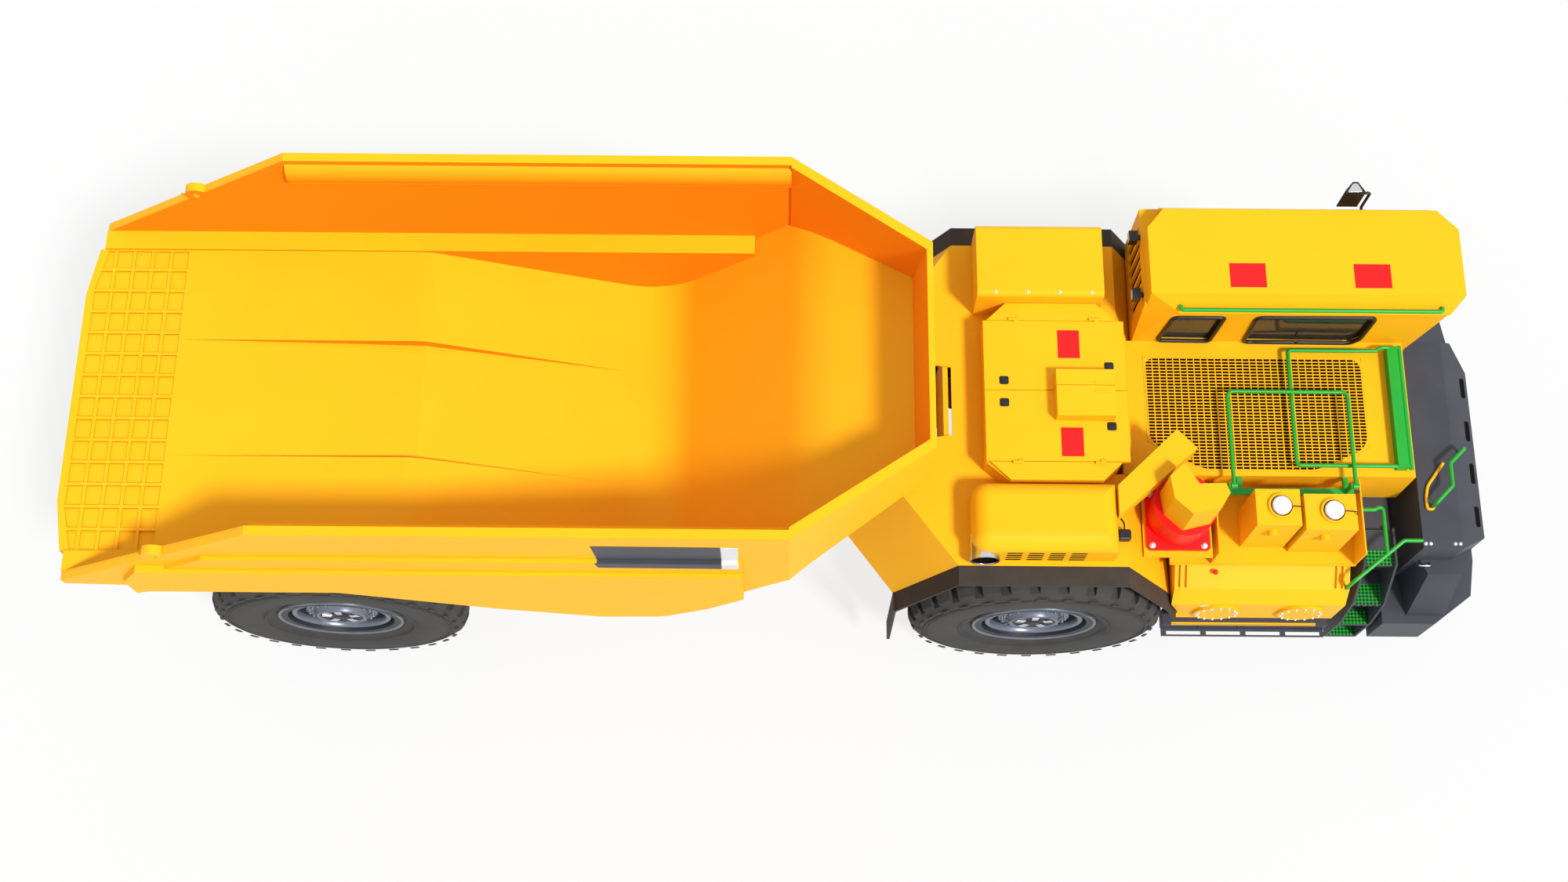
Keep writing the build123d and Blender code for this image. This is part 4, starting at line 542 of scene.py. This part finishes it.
def dress_wheel(end, side, way):
    """Rings, recesses, bolts, pads and sidewall marks of one wheel."""
    corner = f"{end}_{side}"
    body = f"wheel_{corner}"
    low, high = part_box(f"tyre_{corner}")
    hub = ((low[0] + high[0]) / 2, way * HUB_FACE, (low[2] + high[2]) / 2)
    axis = (0, way, 0)

    # raised rings and bolts, in the lighter rim finish that paints a highlight on the outer flange
    # ring
    rings = Shape()
    for profile in RIM_RINGS:
        rings.turned(hub, axis, profile)
    for k in range(WHEEL_BOLTS):
        turn = math.tau * k / WHEEL_BOLTS
        rings.bolt(about(hub, turn, WHEEL_BOLT_RING, way * WHEEL_BOLT_SEAT), axis, 0.013, 0.02)
    piece(f"rim_rings_{corner}", rings, body, RIM_RING_HIGHLIGHT)

    recess = Shape()
    for profile in RIM_RECESS:
        recess.turned(hub, axis, profile)
    for k in range(HUB_PADS):
        turn = math.tau * (k + 0.5) / HUB_PADS
        recess.bolt(about(hub, turn, HUB_BOLT_RING, way * HUB_SEAT), axis, 0.012, 0.012)
    piece(f"rim_recess_{corner}", recess, body, RIM_DARK)

    pads = Shape()
    for k in range(HUB_PADS):
        middle = math.tau * k / HUB_PADS + math.pi / 2
        corners = [about(hub, middle + spread * (0.12 / radius), radius, way * HUB_SEAT)
                   for radius, spread in PAD_CORNERS]
        pads.slab(corners, (0, way * 0.013, 0), 0.004)
    piece(f"hub_pads_{corner}", pads, body, STEEL)

    marks = Shape()
    centre = (hub[0], way * TYRE_FACE, hub[2])
    for radius in TYRE_RIBS:
        marks.turned(centre, axis, [(radius - 0.006, -0.002), (radius, 0.003),
                                    (radius + 0.006, -0.002)], 96)
    for k in range(TYRE_MARKS):
        turn = math.tau * (k + 0.25) / TYRE_MARKS
        out = Vector((math.cos(turn), 0, math.sin(turn)))
        across = Vector((-math.sin(turn), 0, math.cos(turn)))
        place = Vector(centre) + out * MARK_RING
        corners = [place + out * a * MARK_HALF[0] + across * b * MARK_HALF[1]
                   for a, b in ((-1, -1), (1, -1), (1, 1), (-1, 1))]
        marks.slab([c - Vector((0, way * 0.002, 0)) for c in corners], (0, way * 0.006, 0), 0.002)
    piece(f"tyre_marks_{corner}", marks, body, TYRE)


for end in ("front", "rear"):
    for side, way in (("left", 1), ("right", -1)):
        dress_wheel(end, side, way)

# ------------------------------------------------------------------ cab windows
INNER_WINDOWS = (
    [(2.930, 2.150), (3.350, 2.140), (3.372, 2.600), (3.350, 2.620), (3.000, 2.620),
     (2.975, 2.595)],
    [(3.625, 2.130), (4.480, 2.120), (4.540, 2.210), (4.545, 2.600), (4.520, 2.640),
     (3.650, 2.630), (3.622, 2.600)],
)
WINDSCREEN = ((0.68, 2.06), (1.35, 2.06), (1.35, 2.64), (0.68, 2.64))


def screen_x(z):
    """Outer face of the leaning front wall at height z."""
    return 4.96 + (z - 2.0) * 0.13 / 0.72


seals = Shape()
for outline in INNER_WINDOWS:
    line = rounded([(x, CAB_INNER_SIDE - 0.006, z) for x, z in outline], 0.05)
    seals.rod(line, 0.017, closed=True)
line = rounded_panel("XZ", (0, CAB_OUTER_SEAL, 0), (2.96, 3.56), (1.90, 2.62), 0.06)
seals.rod(line, 0.015, closed=True)
line = rounded([(screen_x(z) + 0.006, y, z) for y, z in WINDSCREEN], 0.07)
seals.rod(line, 0.016, closed=True)
# wipers of the inner side and of the windscreen
seals.rod([(3.70, CAB_INNER_SIDE - 0.022, 2.175), (4.05, CAB_INNER_SIDE - 0.026, 2.20),
           (4.46, CAB_INNER_SIDE - 0.022, 2.185)], 0.007)
seals.rod([(4.05, CAB_INNER_SIDE - 0.012, 2.135), (4.05, CAB_INNER_SIDE - 0.026, 2.20)], 0.009)
seals.rod([(screen_x(2.1) + 0.02, 0.85, 2.09), (screen_x(2.5) + 0.024, 1.10, 2.5)], 0.007)
front_piece("window_seals", seals, BLACK)
door_seal = Shape()
line = rounded_panel("XZ", (0, DOOR_FACE, 0), (3.83, 4.45), (1.98, 2.60), 0.06)
door_seal.rod(line, 0.014, closed=True)
piece("door_seal", door_seal, "cab_door", BLACK)

# rear louvre of the cab, whose gaps are dark slabs of painted shade, and its lamps' lenses
low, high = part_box("cab_shell")
louvre = Shape()
for k in range(6):
    y = 1.0425 + (k - 2.5) * 0.1
    x = low[0] + 0.026
    louvre.slab([(x, y - 0.034, 2.16), (x, y + 0.034, 2.16), (x, y + 0.034, 2.64),
                 (x, y - 0.034, 2.64)], (-0.006, 0, 0), 0.001)
front_piece("louvre_back", louvre, HOLE_SHADE)
lenses = Shape()
for y in (0.73, 1.22):
    lenses.slab(rounded_panel("YZ", (low[0] - 0.088, y, 2.6775), each_way(0.036),
                              each_way(0.028), 0.012), (-0.004, 0, 0), 0.002)
front_piece("work_lenses", lenses, WHITE)

# ------------------------------------------------------------------ plates, latches and ridges
plates = Shape()
for x in ((3.365, 3.643), (4.322, 4.604)):
    plates.slab(flat(x, (0.704, 0.905), ROOF_FACE), (0, 0, 0.0025), 0.001)
front_piece("roof_plates", plates, RED)
for side, x, y in (("left", (2.078, 2.249), (0.268, 0.502)),
                   ("right", (2.077, 2.248), (-0.540, -0.306))):
    plate = Shape().slab(flat(x, y, LID_FACE), (0, 0, 0.0025), 0.001)
    piece(f"lid_plate_{side}", plate, f"hood_door_{side}", RED)

LATCH_HEIGHT = 2.507
for side, places, ridge in (("left", [(1.652, 0.079), (2.471, 0.200)], 0.020),
                            ("right", [(1.650, -0.104), (2.470, -0.295)], -0.052)):
    latch = Shape()
    for x, y in places:
        latch.slab(rounded_panel("XY", (x, y, LID_FACE), each_way(0.036), each_way(0.034), 0.016),
                   (0, 0, 0.007), 0.003)
        latch.slab(rounded_panel("XY", (x, y, LATCH_HEIGHT), (-0.022, 0.024), each_way(0.014),
                                 0.008), (0, 0, 0.009), 0.003)
    piece(f"latches_{side}", latch, f"hood_door_{side}", BLACK)
    bead = Shape().block((2.335, ridge - 0.007, 2.6195), (2.468, ridge + 0.007, 2.626), 0.003)
    piece(f"hatch_ridge_{side}", bead, f"hood_door_{side}", YELLOW)

# ------------------------------------------------------------------ housings
# vent slots of the right-hand housing: dark slabs of painted shade
vents = Shape()
for column in range(4):
    for row in range(4):
        place = (1.70 + column * 0.162, HOUSING_FACE, 2.285 + row * 0.055)
        vents.slab(rounded_panel("XZ", place, each_way(0.060), each_way(0.014), 0.012),
                   (0, -0.0012, 0), 0)
front_piece("housing_vents", vents, HOLE_SHADE)

# bolts of the left housing, the air cleaner's foot, the tank's covers and the top step
COVER_BOLTS, COVER_RING = 14, 0.160
dots = Shape()
for k in range(4):
    dots.bolt((1.59 + k * 0.2505, 0.763, 2.6445), (0, -0.35, 1), 0.009, 0.009)
for x, y in ((2.823, -1.105), (3.226, -1.106), (2.823, -0.69), (3.226, -0.69)):
    dots.bolt((x, y, CLEANER_FLANGE), (0, 0, 1), 0.017, 0.022)
for centre in (3.46, 4.14):
    for k in range(COVER_BOLTS):
        turn = math.tau * (k + 0.5) / COVER_BOLTS
        place = about((centre, TANK_COVER, 1.27), turn, COVER_RING, 0)
        dots.bolt(place, (0, -1, 0), 0.0085, 0.013)
for x in (4.998, 5.038, 5.231, 5.271):
    dots.bolt((x, -1.035, 1.9002), (0, 0, 1), 0.010, 0.010)
front_piece("bolts", dots, WHITE)

EXHAUST_MOUTH = (1.48, -1.34, 2.37)
lip = Shape().turned(EXHAUST_MOUTH, (0, 1, 0), [
    (0.0985, 0.006), (0.100, 0.001), (0.105, -0.0005), (0.110, 0.002), (0.1119, 0.010),
    (0.1119, 0.038)])
front_piece("exhaust_lip", lip, STEEL)
# dark lining inside the exhaust's mouth: painted shade of the pipe's inside
exhaust_shade = Shape().turned(EXHAUST_MOUTH, (0, 1, 0), [(0.0985, 0.008), (0.0985, 0.10), (0, 0.102)], 48)
front_piece("exhaust_painted_shade", exhaust_shade, HOLE_SHADE)

# work lamp on the corner of the right-hand housing, with its lead
lamp = Shape()
lamp.block((2.50, -1.16, 2.292), (2.60, -1.075, 2.372), 0.014)
lamp.block((2.481, -1.128, 2.31), (2.505, -1.10, 2.35), 0.005)
lamp.rod([(2.55, -1.085, 2.36), (2.548, -1.03, 2.375), (2.522, -0.985, 2.36),
          (2.503, -0.98, 2.30), (2.492, -1.00, 2.262)], 0.0065, bend=0.03)
front_piece("work_lamp", lamp, BLACK)

# ------------------------------------------------------------------ shelf, fillers and tank
rods = Shape()
rods.rod([(3.834, -0.885, 2.378), (3.926, -0.892, 2.378)], 0.0045)
rods.rod([(4.234, -0.920, 2.378), (4.335, -0.927, 2.378), (4.333, -0.948, 2.366)], 0.0045,
         bend=0.01)
for x in (3.50, 4.43):
    rods.rod([(x - 0.07, -0.672, 2.085), (x + 0.03, -0.672, 2.085)], 0.008)
front_piece("filler_latches", rods, BLACK)
lids = Shape()
for x, y in ((3.7625, -0.878), (4.162, -0.913)):
    lids.turned((x, y, 2.38), (0, 0, 1), [(0.0735, -0.012), (0.0735, 0.003), (0.070, 0.007),
                                          (0.060, 0.0085), (0, 0.0095)], 48)
front_piece("lid_caps", lids, WHITE)
SHELF_FOOT = 1.729
brackets = Shape()
for x in (3.10, 3.15, 4.34, 4.39):
    brackets.slab([(x, -1.172, SHELF_FOOT), (x, -1.172, 1.66), (x, -1.335, 1.632),
                   (x, -1.345, 1.648)], (0.012, 0, 0), 0.002)
brackets.slab(flat((3.012, 4.478), (-1.178, -1.168), SHELF_FOOT), (0, 0, 0.026), 0.003)
front_piece("shelf_brackets", brackets, YELLOW)
badge = Shape().slab(upright((3.30, 3.37), TANK_FACE, (1.40, 1.44)), (0, -0.002, 0), 0)
front_piece("blank_badge", badge, WHITE)
knob = Shape().turned((3.373, -1.22, 1.696), (0, -0.45, 1), [
    (0.012, 0), (0.012, 0.012), (0.021, 0.016), (0.021, 0.026), (0.014, 0.032), (0, 0.033)], 24)
front_piece("drain_knob", knob, RED)

# ------------------------------------------------------------------ steps and sill
# checker pads of the treads, and the slotted riser under the second one, whose slots are dark
# slabs of painted shade
TREADS = (
    ((4.562, 4.822), (-1.146, -1.020), 1.6502), ((4.566, 4.826), (-1.366, -1.190), 1.2502),
    ((4.562, 4.806), (-1.428, -1.300), 0.8502), ((4.562, 4.826), (-1.428, -1.290), 0.4502),
)
pads = Shape()
for x, y, z in TREADS:
    pads.slab(flat(x, y, z), (0, 0, 0.004), 0.001)
front_piece("tread_pads", pads, TREAD)
RISER_FACE = -1.3702
riser = Shape()
for k in range(5):
    x = 4.60 + k * 0.05
    riser.slab([(x - 0.012, RISER_FACE, 1.222), (x + 0.006, RISER_FACE, 1.222),
                (x + 0.016, RISER_FACE, 1.248), (x - 0.002, RISER_FACE, 1.248)],
               (0, -0.001, 0), 0)
front_piece("riser_slots", riser, HOLE_SHADE)

# stripe along the sill, and the slotted flange below it
STRIPE_SPAN = (3.16, 4.35)
FLANGE_SPAN = (3.095, 4.445)
stripe = Shape().slab(upright(STRIPE_SPAN, SILL_FACE, (0.915, 0.937)), (0, -0.002, 0), 0)
stripe.slab(flat(STRIPE_SPAN, (-1.458, -1.444), SILL_TOP), (0, 0, 0.0015), 0)
front_piece("sill_stripe", stripe, YELLOW)
flange = Shape()
for y in ((-1.530, -1.516), (-1.486, -1.461)):
    flange.slab(flat(FLANGE_SPAN, y, FLANGE_FOOT), (0, 0, 0.01), 0.002)
for k in range(5):
    x = 3.115 + k * 0.330
    flange.slab(flat((x - 0.02, x + 0.025), (-1.517, -1.485), FLANGE_FOOT), (0, 0, 0.01), 0)
front_piece("sill_flange", flange, DARK)

# ------------------------------------------------------------------ nose
# slots in the nose's slope: dark slabs of painted shade
SLOT_X, SLOT_HALF_WIDTH, SLOT_HALF_LENGTH = 5.455, 0.020, 0.085
slots = Shape()
for y in (0.30, -0.07, -0.43, -0.79):
    outline = []
    for a, b in ((-1, -1), (1, -1), (1, 1), (-1, 1)):
        x = SLOT_X + a * SLOT_HALF_WIDTH
        outline.append((x, y + b * SLOT_HALF_LENGTH,
                        NOSE_TOP - (x - NOSE_EDGE) * NOSE_SLOPE + 0.0006))
    slots.slab(rounded(outline, 0.018), (0.0006, 0, 0.0012), 0)
front_piece("nose_slots", slots, HOLE_SHADE)
HOOK_HEIGHT = 1.914
hold = Shape()
for bend, plan in ((0.03, ((5.035, -0.75), (5.035, -0.66), (5.055, -0.565), (5.20, -0.37))),
                   (0.02, ((5.035, -0.75), (5.075, -0.76), (5.10, -0.72)))):
    hold.rod([(x, y, HOOK_HEIGHT) for x, y in plan], 0.0125, bend=bend)
front_piece("nose_hook", hold, YELLOW)
grab = Shape().rod([(5.03, -1.085, 1.545), (5.03, -1.13, 1.60), (5.13, -1.13, 1.60),
                    (5.13, -1.085, 1.545)], 0.008, bend=0.03)
front_piece("fairing_grab", grab, STEEL)
LAMP_HEIGHT = 1.42
bezels, glasses = Shape(), Shape()
for y in (-0.72, -0.40, 0.12, 0.34):
    centre = (LAMP_FACE, y, LAMP_HEIGHT)
    bezels.turned(centre, (1, 0, 0), [(0.098, -0.002), (0.098, 0.018), (0.090, 0.026),
                                      (0.082, 0.018), (0.080, 0.006)], 40)
    glasses.turned(centre, (1, 0, 0), [(0.082, 0.004), (0.06, 0.012), (0.03, 0.016),
                                       (0, 0.017)], 40)
front_piece("lamp_bezels", bezels, BLACK)
front_piece("lamp_glasses", glasses, WHITE)

# ------------------------------------------------------------------ mirror and box
MIRROR_PLAN = ((4.300, 1.468), (4.350, 1.546), (4.385, 1.546), (4.420, 1.473))
low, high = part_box("mirror")
outline = rounded([(x, y, high[2] + 0.0002) for x, y in MIRROR_PLAN], 0.015)
front_piece("mirror_glass", Shape().slab(outline, (0, 0, 0.002), 0.001), STEEL)

# marker on the right side of the box: a dark panel with a white end, over the side's step
STEP_TOP = 2.9015
PANEL_REAR, PANEL_FRONT, TAB_REAR, TAB_FRONT = -1.405, -0.50, -0.497, -0.378
panel, tab = Shape(), Shape()
for y, foot, head in ((-1.5002, STEP_TOP, 3.24), (-1.5302, 2.79, STEP_TOP)):
    panel.slab([(PANEL_REAR, y, foot), (PANEL_FRONT, y, foot - 0.01),
                (PANEL_FRONT, y, head - 0.01), (-1.425, y, head)], (0, -0.003, 0), 0.001)
    tab.slab([(TAB_REAR, y, foot - 0.01), (TAB_FRONT, y, foot - 0.012),
              (-0.372, y, head - 0.02), (TAB_REAR, y, head - 0.01)], (0, -0.003, 0), 0.001)
for shape, span in ((panel, (PANEL_REAR, PANEL_FRONT)), (tab, (TAB_REAR, TAB_FRONT))):
    shape.slab(flat(span, (-1.533, -1.5002), ROOF_FACE), (0, 0, 0.002), 0.001)
piece("marker_panel", panel, "dump_box", DARK)
piece("marker_end", tab, "dump_box", WHITE)

# ------------------------------------------------------------------ camera
elevation, roll = math.radians(70.6316), math.radians(0.4632)
ahead = Vector((0, math.cos(elevation), -math.sin(elevation)))
level_up = Vector((0, math.sin(elevation), math.cos(elevation)))
right = Vector((1, 0, 0)) * math.cos(roll) + level_up * math.sin(roll)
up = level_up * math.cos(roll) - Vector((1, 0, 0)) * math.sin(roll)
camera = bpy.data.objects.new("camera", bpy.data.cameras.new("camera"))
bpy.context.scene.collection.objects.link(camera)
camera.matrix_world = Matrix((
    (right.x, up.x, -ahead.x, -0.05),
    (right.y, up.y, -ahead.y, -5.2743),
    (right.z, up.z, -ahead.z, 16.2664),
    (0, 0, 0, 1),
))
camera.data.lens = 43.722
camera.data.sensor_width = 36
camera.data.clip_end = 200
bpy.context.scene.camera = camera

# ------------------------------------------------------------------ light
sun = bpy.data.objects.new("key", bpy.data.lights.new("key", "SUN"))
bpy.context.scene.collection.objects.link(sun)
sun.data.energy = 3.3
sun.data.angle = math.radians(9)
sun.rotation_euler = Vector((0.42, -0.42, 0.80)).to_track_quat("Z", "Y").to_euler()


def join_shaders(tree, factor, first, second, output):
    """Sends a blend of two shaders to an output node."""
    blend = add_node(tree, "MixShader")
    for socket, source in zip(blend.inputs, (factor, first, second)):
        tree.links.new(source, socket)
    tree.links.new(blend.outputs["Shader"], tree.nodes[output].inputs["Surface"])


# soft sky light, with a white backdrop where it is seen directly, mirrored or through glass
world = bpy.data.worlds.new("studio")
bpy.context.scene.world = world
world.use_nodes = True
wtree = world.node_tree
sky = wtree.nodes["Background"]
sky.inputs["Color"].default_value = (1, 1, 1, 1)
sky.inputs["Strength"].default_value = 0.72
backdrop = add_node(wtree, "Background", {"Color": (1, 1, 1, 1)})
rays = add_node(wtree, "LightPath").outputs
mirrored = calc(wtree, "MAXIMUM", rays["Is Glossy Ray"], rays["Is Transmission Ray"])
seen = calc(wtree, "MAXIMUM", rays["Is Camera Ray"], mirrored)
join_shaders(wtree, seen, sky.outputs["Background"], backdrop.outputs["Background"],
             "World Output")
bpy.context.scene.view_settings.view_transform = "Standard"

# ------------------------------------------------------------------ floor
FLOOR_REACH = 60
FLOOR_WHITE = 0.8
floor_mesh = bpy.data.meshes.new("floor")
floor_mesh.from_pydata(flat(each_way(FLOOR_REACH), each_way(FLOOR_REACH), 0), [], [(0, 1, 2, 3)])
floor = bpy.data.objects.new("floor", floor_mesh)
bpy.context.scene.collection.objects.link(floor)
floor_mat = paint("floor", [0.62, 0.62, 0.62], rough=0.9, vary=0.01, scale=0.3, specular=0.0)
ftree = floor_mat.node_tree
white = add_node(ftree, "Emission", {"Strength": 1.0})
rays = add_node(ftree, "LightPath").outputs
share = calc(ftree, "MULTIPLY", rays["Is Camera Ray"], FLOOR_WHITE)
join_shaders(ftree, share, ftree.nodes["Principled BSDF"].outputs["BSDF"],
             white.outputs["Emission"], "Material Output")
floor_mesh.materials.append(floor_mat)
floor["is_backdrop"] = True

low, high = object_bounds()
